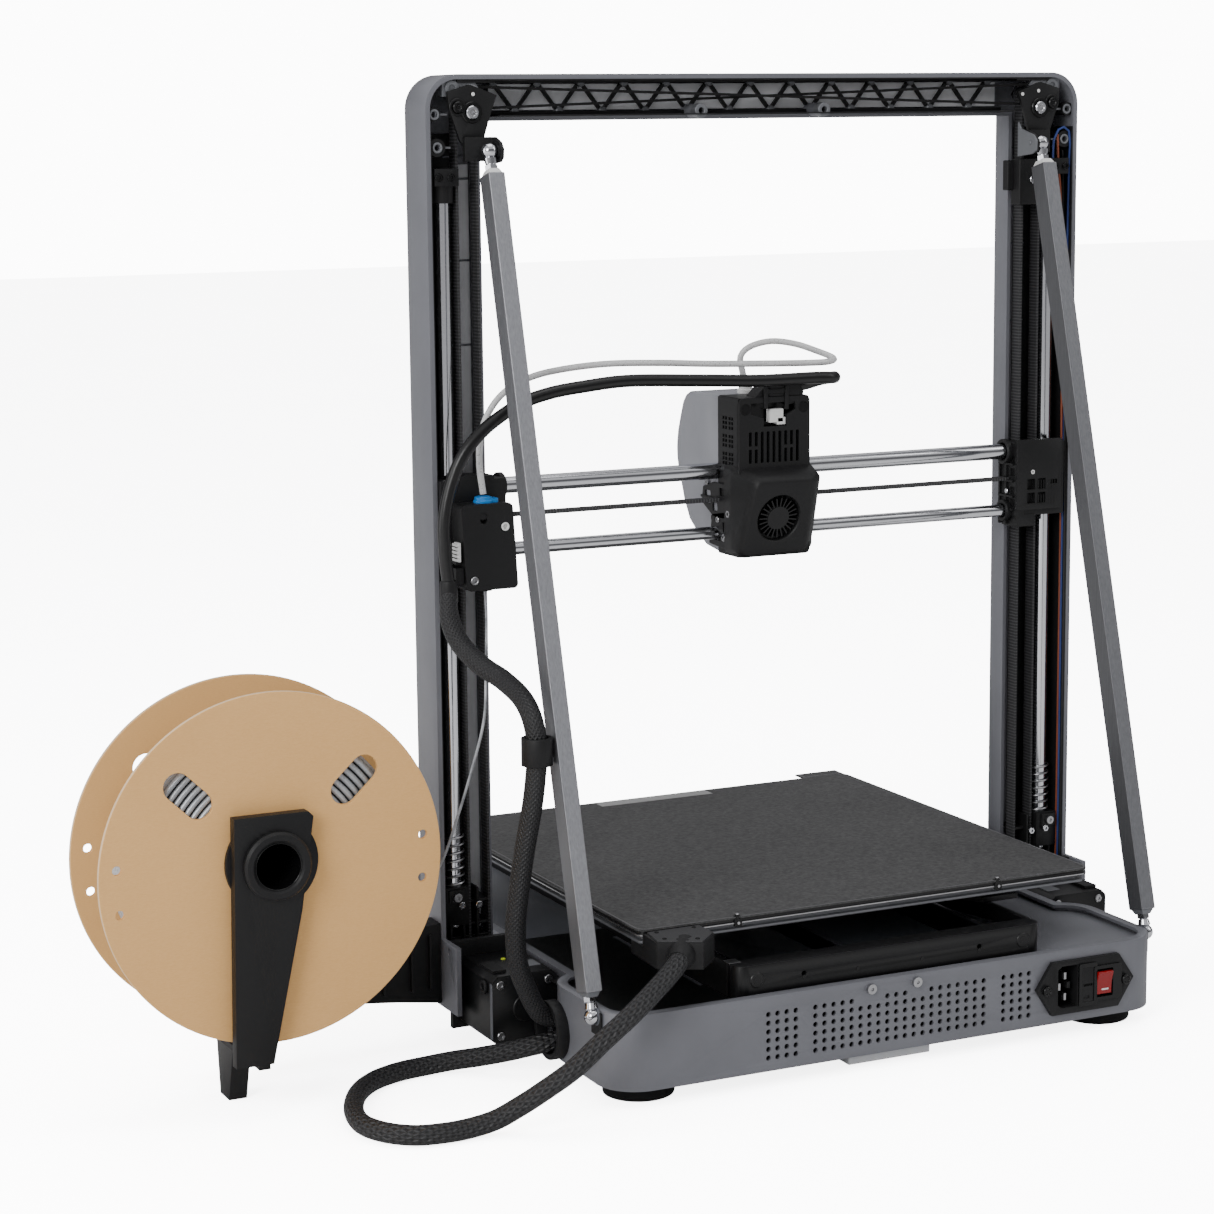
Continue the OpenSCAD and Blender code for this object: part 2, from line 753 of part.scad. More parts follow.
module filament_sensor() {
  color("black")
    difference() {
      union() {
        box([181, 43, 280], [216, 60, 331]);
        for (p = [[188, 317], [208, 286]])
          ycyl(p[0], p[1], 3, 59, 61);
        box([215, 56, 296], [221, 60, 304]);
      }
      zcyl(198, 51, 2.4, 279, 332);
      for (p = [[188, 317], [208, 286]])
        translate([p[0], 62, p[1]]) rotate([90, 0, 0])
          cylinder(r = 1.3, h = 2, $fn = 6);
      box([200, 58.5, 321], [205, 61, 332]);
    }
  color("dodgerblue")
    difference() {
      union() {
        zcyl(198, 51, 5.2, 331, 334);
        zcyl(198, 51, 4, 333, 336);
      }
      zcyl(198, 51, 1.5, 330, 337);
    }
}

// ---- print head ----
module cover_side() {
  polygon([[28, 384], [-8, 384], [-15, 382], [-20, 378], [-29, 356],
    [-30, 346], [-29, 337], [-25.5, 328], [-20, 314], [-12.5, 302],
    [-1, 294], [10, 288.5], [28, 286]]);
}
module cover_inside() {
  polygon([[29, 382], [-7.4, 382], [-14, 380.2], [-18.6, 377],
    [-27, 355.6], [-28, 346], [-27, 337.4], [-23.6, 328.6], [-18.3, 315],
    [-11.2, 303.6], [0, 295.8], [10.6, 290.5], [29, 288]]);
}
module rod_notches(y0, y1) {
  box([head_x0 - 14, y0, 331.8], [head_x1 + 14, y1, 343.2]);
  box([head_x0 - 14, y0, 294.4], [head_x1 + 14, y1, 303.6]);
  box([head_x0 - 14, y0, 316.6], [head_x1 + 14, y1, 319.4]);
}
module head_cover() {
  color("silver")
    difference() {
      yz(head_x0, head_x1) cover_side();
      yz(head_x0 + 2, head_x1 - 2) cover_inside();
      rod_notches(24, 29);
      zcyl(head_x, 20, 9.9, 283, 291);
      zcyl(head_x + 2, 23, 4.1, 381, 385);
    }
}
// Frame of the tilted cooling fan: Y is its axle, zero at the front grille
module fan_frame() {
  translate([0, 64.1, fan_z]) rotate([-fan_tilt, 0, 0])
    translate([0, 0, -fan_z]) children();
}
module head_shell() {
  color("black")
    difference() {
      union() {
        difference() {
          union() {
            box([head_x0, 28, 286], [head_x1, 56, 384]);
            box([-24, 40, 287], [36, 50.1, 343]);
            polyhedron(
              points = [[-24, 50, 287], [36, 50, 287], [36, 50, 343],
                [-24, 50, 343], [-17, 58, 287], [34, 58, 287],
                [34, 70, 332], [-17, 70, 332]],
              faces = [[0, 3, 2], [0, 2, 1], [4, 5, 6, 7], [0, 1, 5, 4],
                [1, 2, 6], [1, 6, 5], [2, 3, 7, 6], [3, 0, 4], [3, 4, 7]]);
          }
          box([head_x0 + 2, 27, 288], [head_x1 - 2, 52, 382]);
          fan_frame() ycyl(fan_x, fan_z, fan_r, -7, 5);
        }
        fan_frame() ycyl(fan_x, fan_z, 1.5, -9, -1.6);
        box([-12, 40, 383], [9, 55, 391]);
      }
      rod_notches(27, 35.6);
      for (i = [0 : 8])
        box([-11.5 + 4.1 * i, 51, 343.5], [-9.5 + 4.1 * i, 59, 363]);
      for (x = [head_x0, head_x1], z = [342, 353, 364])
        box([x - 3, 34, z], [x + 3, 50, z + 8]);
      for (x = [-14, 26])
        ycyl(x, 377, 2, 50, 59);
      box([1, 48, 366], [10, 59, 377]);
    }
}
module carriage_body() {
  color("dimgray")
    difference() {
      union() {
        box([head_x0 + 2, 23.5, 331], [head_x1 - 2, 40, 347]);
        box([head_x0 + 2, 26.5, 292], [head_x1 - 2, 40, 306]);
        box([head_x0 + 2, 37, 292], [head_x1 - 2, 40, 347]);
        box([head_x0 + 2, 8, 308], [head_x1 - 2, 11, 372]);
        box([10, 8, 343.6], [head_x1 - 2, 26, 347]);
      }
      xcyl(xrod_y, x_rod_hi, x_rod_hi_d / 2 + 0.05, -40, 50);
      xcyl(xrod_y, x_rod_lo, x_rod_lo_d / 2 + 0.05, -40, 50);
      ycyl(x_axis_x, x_axis_z, 3.2, 7, 12);
      ycyl(x_axis_x, x_axis_z, 8.4, 24, 37);
      ycyl(gear_x, gear_z, 3.2, 7, 12);
    }
}
module hotend() {
  color("goldenrod") {
    translate([head_x, 20, nozzle_z]) cylinder(r1 = 0.8, r2 = 4, h = 5);
    box([head_x - 7, 13, 286], [head_x + 7, 27, 291]);
    zcyl(head_x, 20, 2, 290, 295);
    difference() {
      zcyl(head_x, 20, 5.5, 294, 316);
      for (i = [0 : 4])
        difference() {
          zcyl(head_x, 20, 6, 296 + 4 * i, 298 + 4 * i);
          zcyl(head_x, 20, 3, 295 + 4 * i, 299 + 4 * i);
        }
    }
    zcyl(head_x, 20, 1.5, 315, 346);
    zcyl(head_x, 20, 1.5, 361, 381.9);
    difference() {
      zcyl(head_x + 2, 23, 4, 380, 390);
      zcyl(head_x + 2, 23, 2, 389, 391);
    }
  }
}
module head_motors() {
  color("black") {
    difference() {
      box([x_axis_x - 14, -13, x_axis_z - 14], [x_axis_x + 14, 8, x_axis_z + 13.9]);
      for (x = [-11, 11], z = [-11, 11])
        ycyl(x_axis_x + x, x_axis_z + z, 1.2, 4, 9);
    }
    ycyl(x_axis_x, x_axis_z, 2.5, 7, 35);
    ycyl(gear_x, gear_z + 0.5, 14, -10, 8);
    ycyl(gear_x, gear_z, 2, 7, 25);
  }
}
module x_pulley() {
  color("silver")
    difference() {
      union() {
        ycyl(x_axis_x, x_axis_z, 5.3, 26, 34.5);
        ycyl(x_axis_x, x_axis_z, 4.2, 34, 35.4);
      }
      ycyl(x_axis_x, x_axis_z, 2.55, 24, 36);
    }
}
module extruder_gear() {
  color("silver")
    difference() {
      ycyl(gear_x, gear_z, 6.1, 17, 23);
      ycyl(gear_x, gear_z, 2.05, 16, 24);
      for (i = [0 : 19])
        translate([gear_x, 0, gear_z]) rotate([0, 18 * i, 0])
          box([5.6, 16, -0.4], [7, 24, 0.4]);
    }
}
module fan_rotor() {
  color("black")
    fan_frame()
      difference() {
        union() {
          ycyl(fan_x, fan_z, 7.4, -6.2, -0.8);
          for (i = [0 : 22])
            translate([fan_x, 0, fan_z]) rotate([0, 360 * i / 23, 0])
              box([6.5, -6, -0.4], [13, -1, 0.4]);
        }
        ycyl(fan_x, fan_z, 1.55, -8, -1.5);
      }
}
module bed_sheet() {
  color("dimgray")
    difference() {
      union() {
        translate([0, 0, bed_top - 1]) linear_extrude(1)
          rrect(-bed_hw, bed_front, bed_hw, bed_rear, 6);
        box([-bed_hw + 1, bed_front - 12, bed_top - 1], [-122, bed_front + 8, bed_top]);
      }
      for (x = [-88, 91])
        box([x - 2, bed_rear - 2, bed_top - 2], [x + 2, bed_rear + 1, bed_top + 1]);
    }
}
module bed_plate() {
  color("silver") {
    translate([0, 0, bed_top - 4.5]) linear_extrude(3.5)
      rrect(-bed_hw + 1, bed_front + 1, bed_hw - 1, bed_rear - 1, 5);
    for (x = [-88, 91])
      zcyl(x, bed_rear - 1, 1.4, bed_top - 4, bed_top + 1.5);
  }
}
module bed_tray() {
  color("lightgray") {
    translate([0, 0, bed_top - 7.5]) linear_extrude(3)
      rrect(-bed_hw + 5, bed_front + 5, bed_hw - 5, bed_rear - 5, 4);
    translate([0, 0, bed_top - 9]) linear_extrude(1.6)
      rrect(-bed_hw + 2, bed_front + 2, bed_hw - 2, bed_rear - 2, 4);
  }
}
module bed_carriage() {
  color("black")
    difference() {
      union() {
        translate([0, 0, 72.5]) linear_extrude(3.5) {
          translate([-105, -26]) square([210, 52]);
          for (s = [-1, 1]) {
            polygon([[s * 30, -20], [s * 105, -20], [s * 120, -110],
              [s * 95, -110]]);
            polygon([[s * 30, 20], [s * 105, 20], [s * 120, 140],
              [s * 95, 140]]);
          }
        }
        for (x = [-y_rod_x, y_rod_x])
          box([x - 8, -22.5, 54.5], [x + 8, 22.5, 73]);
        for (x = [-107, 107], y = [-102, 132])
          zcyl(x, y, 6, 72.5, bed_top - 9);
        box([-4, -10, y_drive_z + pitch_r + 1.1], [4, 10, 73]);
      }
      for (x = [-y_rod_x, y_rod_x])
        ycyl(x, 62, 4.05, -24, 24);
    }
}
module bed_gland() {
  color("black") {
    translate([0, 0, 76.5]) linear_extrude(8.5)
      polygon([[117, 150], [152, 150], [154, 187], [131, 200], [116, 185]]);
    translate([0, 0, 84]) linear_extrude(8)
      polygon([[116.5, bed_rear + 0.5], [153, bed_rear + 0.5], [154, 187],
        [131, 200], [116, 185]]);
  }
}

// ---- spool ----
module spool() {
  color("burlywood")
    difference() {
      union() {
        ycyl(spool_x, spool_z, spool_d / 2, spool_y0, spool_y0 + 3);
        ycyl(spool_x, spool_z, spool_d / 2, spool_y1 - 3, spool_y1);
        ycyl(spool_x, spool_z, 29, spool_y0, spool_y1);
      }
      ycyl(spool_x, spool_z, 23.55, spool_y0 - 1, spool_y1 + 3);
      for (a = [44, 137])
        translate([spool_x, 0, spool_z]) rotate([0, -a, 0])
          slot_cut(58.5, 75);
      for (a = [6, -10, 174, 190])
        translate([spool_x, 0, spool_z]) rotate([0, -a, 0])
          ycyl(90, 0, 2.6, spool_y0 - 1, spool_y1 + 1);
    }
}
module slot_cut(r0, r1) {
  ycyl(r0, 0, 8, spool_y0 - 1, spool_y1 + 1);
  ycyl(r1, 0, 8, spool_y0 - 1, spool_y1 + 1);
  box([r0, spool_y0 - 1, -8], [r1, spool_y1 + 1, 8]);
}
module filament_winding() {
  color("silver")
    difference() {
      ycyl(spool_x, spool_z, 80, spool_y0 + 3, spool_y1 - 3);
      ycyl(spool_x, spool_z, 29, spool_y0, spool_y1);
    }
}

// ---- cords ----
module bed_cable() {
  color("black") tube(bed_cable_route, bed_cable_d, 10);
}
module cable_sleeve() {
  color("black") tube(sleeve_route, sleeve_d, 10);
}
module head_hose() {
  color("black") tube(hose_route, hose_d, 8);
}
module guide_tube() {
  color("white") tube(guide_route, guide_d, 8);
}
module filament_strand() {
  color("silver") tube(strand_route, 1.8, 6);
}

base_tray();
base_feet();
deck_plate();
inlet_body();
rocker_switch();
root_screws();
power_supply();
control_board();
y_frame();
y_rods();
y_motor();
y_motor_pulley();
y_idler();
y_belt();
motor_brackets();
portal_frame();
beam_insert();
z_rods();
rod_clamps();
buffer_springs();
z_motor_left();
z_motor_right();
z_drive_pulley_left();
z_drive_pulley_right();
z_top_pulley_left();
z_top_pulley_right();
z_belts();
sync_belt();
braces();
brace_balls();
brace_brackets();
cable_clips();
ribbon_wires();
spool_arm();
spool_hub();
x_block_left();
x_block_right();
x_rods();
x_belt();
filament_sensor();
head_cover();
head_shell();
carriage_body();
hotend();
head_motors();
x_pulley();
extruder_gear();
fan_rotor();
bed_sheet();
bed_plate();
bed_tray();
bed_carriage();
bed_gland();
spool();
filament_winding();
bed_cable();
cable_sleeve();
head_hose();
guide_tube();
filament_strand();
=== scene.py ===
import bpy
import bmesh
from math import atan2, cos, pi, radians, sin
from mathutils import Matrix, Vector


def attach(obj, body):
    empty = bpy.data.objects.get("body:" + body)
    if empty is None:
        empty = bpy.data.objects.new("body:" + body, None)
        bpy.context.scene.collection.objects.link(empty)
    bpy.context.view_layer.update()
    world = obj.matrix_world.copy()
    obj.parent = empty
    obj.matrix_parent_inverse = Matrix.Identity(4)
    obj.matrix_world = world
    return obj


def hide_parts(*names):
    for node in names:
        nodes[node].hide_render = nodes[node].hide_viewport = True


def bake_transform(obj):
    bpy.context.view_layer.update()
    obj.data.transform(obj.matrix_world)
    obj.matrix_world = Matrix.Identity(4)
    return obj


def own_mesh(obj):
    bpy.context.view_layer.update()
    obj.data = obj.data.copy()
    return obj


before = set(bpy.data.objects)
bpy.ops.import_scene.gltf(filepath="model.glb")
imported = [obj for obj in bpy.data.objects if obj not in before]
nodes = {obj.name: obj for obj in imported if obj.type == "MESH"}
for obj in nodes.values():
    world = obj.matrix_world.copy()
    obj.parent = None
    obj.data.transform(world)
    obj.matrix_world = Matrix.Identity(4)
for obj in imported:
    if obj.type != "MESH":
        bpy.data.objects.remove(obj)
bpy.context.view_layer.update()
scene = bpy.context.scene


# ---- camera
def set_camera():
    a, e, roll = radians(154.489), radians(9.418), radians(-0.586)
    back = Vector((sin(a) * cos(e), -cos(a) * cos(e), sin(e)))
    right = Vector((cos(a), sin(a), 0))
    up = back.cross(right)
    r2 = right * cos(roll) + up * sin(roll)
    u2 = up * cos(roll) - right * sin(roll)
    cam = bpy.data.cameras.new("camera")
    cam.sensor_width = 36
    cam.lens = 87.2
    cam.clip_end = 20
    ob = bpy.data.objects.new("camera", cam)
    m = Matrix((r2, u2, back)).transposed().to_4x4()
    m.translation = Vector((0.8718, 1.6304, 0.5524))
    ob.matrix_world = m
    scene.collection.objects.link(ob)
    bpy.context.scene.camera = ob


set_camera()


# ---- materials
def srgb(r, g, b):
    out = []
    for c in (r, g, b):
        c /= 255
        out.append(c / 12.92 if c <= 0.04045 else ((c + 0.055) / 1.055) ** 2.4)
    return tuple(out) + (1.0,)


class Nodes:
    """Short hand for a node tree: that of a new material, or the one given."""

    def __init__(self, name=None, tree=None):
        if name:
            self.mat = bpy.data.materials.new(name)
            self.mat.use_nodes = True
        self.tree = tree or self.mat.node_tree
        self.coord = self.add("TexCoord")

    def add(self, kind, **values):
        n = self.tree.nodes.new("ShaderNode" + kind)
        for k, v in values.items():
            if k in n.inputs:
                n.inputs[k].default_value = v
            else:
                setattr(n, k, v)
        return n

    def link(self, a, b):
        self.tree.links.new(a, b)

    def noise(self, scale, detail=3, rough=0.5, stretch=None):
        n = self.add("TexNoise", Scale=scale, Detail=detail, Roughness=rough)
        place = self.coord.outputs["Object"]
        if stretch:
            m = self.add("Mapping", Scale=stretch)
            self.link(place, m.inputs["Vector"])
            place = m.outputs["Vector"]
        self.link(place, n.inputs["Vector"])
        return n.outputs["Fac"]

    def ramp(self, fac, a, b, lo=0.3, hi=0.7):
        r = self.add("ValToRGB")
        for stop, at, color in zip(r.color_ramp.elements, (lo, hi), (a, b)):
            stop.position, stop.color = at, color
        self.link(fac, r.inputs["Fac"])
        return r.outputs["Color"]

    def span(self, fac, lo, hi):
        m = self.add("MapRange")
        m.inputs["To Min"].default_value = lo
        m.inputs["To Max"].default_value = hi
        self.link(fac, m.inputs["Value"])
        return m.outputs["Result"]

    def math(self, op, a, b=None):
        m = self.add("Math", operation=op)
        for i, v in enumerate((a, b)):
            if isinstance(v, (int, float)):
                m.inputs[i].default_value = v
            elif v is not None:
                self.link(v, m.inputs[i])
        return m.outputs[0]

    def bump(self, height, strength, distance):
        b = self.add("Bump", Strength=strength, Distance=distance)
        self.link(height, b.inputs["Height"])
        return b.outputs["Normal"]

    def mix(self, a, b, factor, blend="MIX"):
        """Colours a and b and the factor are sockets or constants."""
        m = self.add("Mix", data_type="RGBA", blend_type=blend)
        for value, slot in ((a, "A"), (b, "B"), (factor, "Factor")):
            if hasattr(value, "is_linked"):
                self.link(value, m.inputs[slot])
            else:
                m.inputs[slot].default_value = value
        return m.outputs["Result"]

    def split(self, vector):
        x = self.add("SeparateXYZ")
        self.link(vector, x.inputs["Vector"])
        return x.outputs

    def done(self, color, rough, normal=None, **constants):
        shader = self.tree.nodes["Principled BSDF"]
        for socket, name in ((color, "Base Color"), (rough, "Roughness"), (normal, "Normal")):
            if socket is not None:
                self.link(socket, shader.inputs[name])
        for k, v in constants.items():
            shader.inputs[k.replace("_", " ")].default_value = v
        return self.mat


def shade(c, k):
    return tuple(min(1.0, v * k) for v in c[:3]) + (1.0,)


def grained(name, c, rough, var, scale, bump, gloss=0.5, metallic=0.0):
    """Painted, moulded or cast surface: slow tone drift, fine grain in height and gloss."""
    n = Nodes(name)
    slow, fine = n.noise(25, 2), n.noise(scale, 2)
    col = n.ramp(slow, shade(c, 1 - var), shade(c, 1 + var))
    rgh = n.span(fine, rough * 0.85, min(1, rough * 1.18))
    return n.done(col, rgh, n.bump(fine, bump, 0.00006), Specular_IOR_Level=gloss, Metallic=metallic)


def metal(name, c, rough, scale=300, var=0.06, bump=0.05):
    """Ground or turned metal: fine marks in gloss and height, slow drift in tone."""
    n = Nodes(name)
    s, t = n.noise(scale, 3, 0.6), n.noise(18, 2)
    col = n.ramp(t, shade(c, 1 - var), shade(c, 1 + var))
    rgh = n.span(s, rough * 0.7, rough * 1.4)
    return n.done(col, rgh, n.bump(s, bump, 0.00004), Metallic=1.0)


# key: name, colour, roughness, variation, grain per metre, bump, and where they differ gloss and metal
PLAIN = {
    "paint": ("paint_grey", (116, 117, 123), 0.42, 0.05, 1400, 0.10, 0.5, 0.25),
    "paint_dark": ("paint_shadow_grey", (84, 86, 92), 0.5, 0.06, 1400, 0.1),
    "black": ("moulded_black", (25, 25, 26), 0.48, 0.12, 1800, 0.18, 0.3),
    "black_gloss": ("smooth_black", (13, 13, 14), 0.25, 0.1, 900, 0.06, 0.35),
    "black_metal": ("coated_black", (18, 18, 19), 0.34, 0.1, 1500, 0.12, 0.4),
    "rubber": ("rubber_black", (14, 14, 15), 0.7, 0.12, 1200, 0.25, 0.25),
    "cover": ("head_cover_grey", (138, 139, 145), 0.38, 0.04, 1500, 0.08),
    "plate_grey": ("board_grey", (120, 122, 126), 0.45, 0.06, 1200, 0.08, 0.5, 0.5),
    "red": ("rocker_red", (142, 14, 17), 0.22, 0.06, 700, 0.05),
    "blue": ("fitting_blue", (18, 122, 200), 0.3, 0.08, 900, 0.06),
    "beam": ("beam_floor_grey", (196, 197, 200), 0.5, 0.05, 900, 0.08),
    "white": ("moulded_white", (226, 226, 224), 0.4, 0.03, 900, 0.06),
    "board": ("board_green", (22, 78, 48), 0.4, 0.15, 400, 0.1),
    "label": ("blank_label", (150, 150, 150), 0.55, 0.1, 260, 0.1),
    "edge": ("bed_rim", (104, 104, 106), 0.35, 0.08, 900, 0.06, 0.5, 0.4),
    "gland": ("clamp_cover", (46, 46, 48), 0.5, 0.1, 1500, 0.15),
    "well": ("tray_well_black", (12, 12, 13), 0.35, 0.15, 300, 0.05),
    "tab": ("tab_light_grey", (206, 207, 210), 0.42, 0.04, 1200, 0.06),
    "lime": ("marker_lime", (196, 214, 40), 0.4, 0.05, 600, 0.05),
    "card_rim": ("spool_card_edge", (226, 196, 158), 0.85, 0.05, 700, 0.2, 0.2),
    "hose": ("hose_black", (11, 11, 12), 0.33, 0.1, 500, 0.05),
}
M = {key: grained(name, srgb(*c), *rest) for key, (name, c, *rest) in PLAIN.items()}
M["chrome"] = metal("ground_rod", srgb(215, 216, 220), 0.12, 500, 0.03, 0.03)
M["steel"] = metal("plain_steel", srgb(176, 176, 178), 0.3)
M["alu"] = metal("machined_aluminium", srgb(190, 191, 195), 0.32)
M["brass"] = metal("turned_brass", srgb(200, 160, 84), 0.28)


def brushed_tube_painted_shade():
    """Anodised square tube; its flanks, and all of the right-hand brace, are darkened as painted shade."""
    n = Nodes("brace_grey_painted_shade")
    s = n.noise(220, 4, 0.6, (6, 6, 0.15))
    col = n.ramp(s, srgb(150, 151, 156), srgb(170, 171, 176))
    # painted shade: faces turned along X are darkened to half, by their world normal
    flank = n.span(n.math("ABSOLUTE", n.split(n.add("NewGeometry").outputs["Normal"])["X"]), 1, 0.5)
    # painted shade: the whole right-hand brace (negative X) is darkened to 0.62
    side = n.span(n.math("GREATER_THAN", n.split(n.coord.outputs["Object"])["X"], 0), 0.62, 1)
    tone = n.mix((0.004, 0.004, 0.004, 1), col, n.math("MULTIPLY", flank, side))
    return n.done(tone, n.span(s, 0.3, 0.46), n.bump(s, 0.06, 0.00004), Metallic=0.55)


def ribbed(name, axis, pitch, dark, light):
    """Toothed belt: fine cross ribs along the given axis."""
    n = Nodes(name)
    wave = n.math("SINE", n.math("MULTIPLY", n.split(n.coord.outputs["Object"])[axis], 2 * pi / pitch))
    h = n.span(wave, 0.5, 1)
    return n.done(n.ramp(h, dark, light, 0.2, 1), n.span(n.noise(900), 0.5, 0.7), n.bump(h, 0.5, 0.0004),
                  Specular_IOR_Level=0.3)


def sheet_coating():
    n = Nodes("textured_print_sheet")
    fine, mid = n.noise(2600, 3, 0.7), n.noise(420, 2)
    mix = n.math("MULTIPLY", fine, mid)
    col = n.ramp(mix, srgb(54, 54, 55), srgb(92, 92, 92), 0.12, 0.5)
    nor = n.bump(fine, 0.5, 0.00025)
    return n.done(col, n.span(fine, 0.55, 0.85), nor, Specular_IOR_Level=0.35)


def card():
    n = Nodes("spool_card")
    fib, slow = n.noise(500, 5, 0.75, (1, 1, 5)), n.noise(9, 2)
    col = n.ramp(fib, srgb(228, 176, 112), srgb(238, 190, 126))
    drift = n.ramp(slow, srgb(236, 230, 222), srgb(255, 255, 255))
    return n.done(n.mix(col, drift, 0.35, "MULTIPLY"), n.span(fib, 0.75, 0.95), n.bump(fib, 0.2, 0.0001),
                  Specular_IOR_Level=0.25)


def braid(name, around, pitch, dark, light, strength):
    """Woven sleeve: two sets of strands that cross, from the tube's own round and along co-ordinates."""
    n = Nodes(name)
    place = n.split(n.coord.outputs["UV"])
    u = n.math("MULTIPLY", place["X"], around * 2 * pi)
    v = n.math("MULTIPLY", place["Y"], 2 * pi / pitch)
    a = n.math("SINE", n.math("ADD", u, v))
    b = n.math("SINE", n.math("SUBTRACT", u, v))
    h = n.math("MAXIMUM", a, b)
    low = n.math("MULTIPLY", a, b)
    col = n.ramp(n.span(low, 1, 0), dark, light, 0.35, 0.95)
    nor = n.bump(h, strength, 0.0006)
    return n.done(col, n.span(n.noise(900, 2), 0.38, 0.62), nor)


def guide_plastic():
    n = Nodes("guide_tube_clear")
    s = n.noise(60, 2)
    col = n.ramp(s, srgb(226, 226, 226), srgb(240, 240, 240))
    return n.done(col, n.span(n.noise(700), 0.22, 0.36), Transmission_Weight=0.35, IOR=1.38)


def filament_look():
    n = Nodes("filament_silver")
    s = n.noise(90, 2)
    col = n.ramp(s, srgb(128, 131, 135), srgb(188, 190, 193))
    return n.done(col, n.span(n.noise(500), 0.22, 0.36), Metallic=0.2)


def coil_look():
    """Wound plastic strand: painted shade darkens the grooves between the ridges, by the surface's
    pointiness; the crowns keep their tone.
    """
    n = Nodes("wound_filament_painted_shade")
    tone = n.ramp(n.noise(40, 2), srgb(150, 154, 158), srgb(196, 199, 202))
    crown = n.add("NewGeometry").outputs["Pointiness"]
    # painted shade: low pointiness (the grooves) is darkened toward near-black
    painted_groove_shade = n.ramp(crown, srgb(20, 22, 24), srgb(255, 255, 255), 0.44, 0.5)
    return n.done(n.mix(tone, painted_groove_shade, 1.0, "MULTIPLY"), n.span(n.noise(500), 0.22, 0.34), Metallic=0.25)


M["coil"] = coil_look()
M["tube"] = brushed_tube_painted_shade()
M["belt_z"] = ribbed("belt_ribs_upright", "Z", 0.002, srgb(10, 10, 11), srgb(70, 70, 72))
M["belt_x"] = ribbed("belt_ribs_cross", "X", 0.002, srgb(10, 10, 11), srgb(84, 84, 86))
M["sheet"] = sheet_coating()
M["card"] = card()
M["braid"] = braid("cable_braid", 9, 0.0065, srgb(5, 5, 6), srgb(42, 42, 44), 0.9)
M["sleeve"] = braid("sleeve_weave", 14, 0.0030, srgb(8, 8, 9), srgb(28, 28, 30), 0.5)
M["guide"] = guide_plastic()
M["filament"] = filament_look()

# which material each CAD node has
LOOKS = {
    "paint": "base_tray portal_frame",
    "rubber": "base_feet y_belt sync_belt x_belt",
    "paint_dark": "deck_plate",
    "black": "inlet_body motor_brackets beam_insert rod_clamps brace_brackets cable_clips spool_arm "
             "spool_hub x_block_left x_block_right filament_sensor head_shell bed_gland",
    "red": "rocker_switch",
    "steel": "root_screws buffer_springs extruder_gear",
    "alu": "power_supply y_motor_pulley y_idler z_drive_pulley_left z_drive_pulley_right "
           "z_top_pulley_left z_top_pulley_right carriage_body x_pulley",
    "board": "control_board",
    "black_metal": "y_frame y_motor z_motor_left z_motor_right head_motors bed_plate bed_carriage",
    "chrome": "y_rods z_rods brace_balls x_rods",
    "belt_z": "z_belts",
    "tube": "braces",
    "blue": "ribbon_wires",
    "cover": "head_cover",
    "brass": "hotend",
    "black_gloss": "fan_rotor",
    "sheet": "bed_sheet",
    "plate_grey": "bed_tray",
    "card": "spool",
    "filament": "filament_winding filament_strand",
    "braid": "bed_cable",
    "sleeve": "cable_sleeve",
    "hose": "head_hose",
    "guide": "guide_tube",
}
for key, names in LOOKS.items():
    for name in names.split():
        nodes[name].data.materials.clear()
        nodes[name].data.materials.append(M[key])


# ---- mesh builders (numbers in millimetres)
AX = {"x": ((0, 1, 0), (0, 0, 1), (1, 0, 0)), "y": ((1, 0, 0), (0, 0, 1), (0, 1, 0)),
      "z": ((1, 0, 0), (0, 1, 0), (0, 0, 1))}


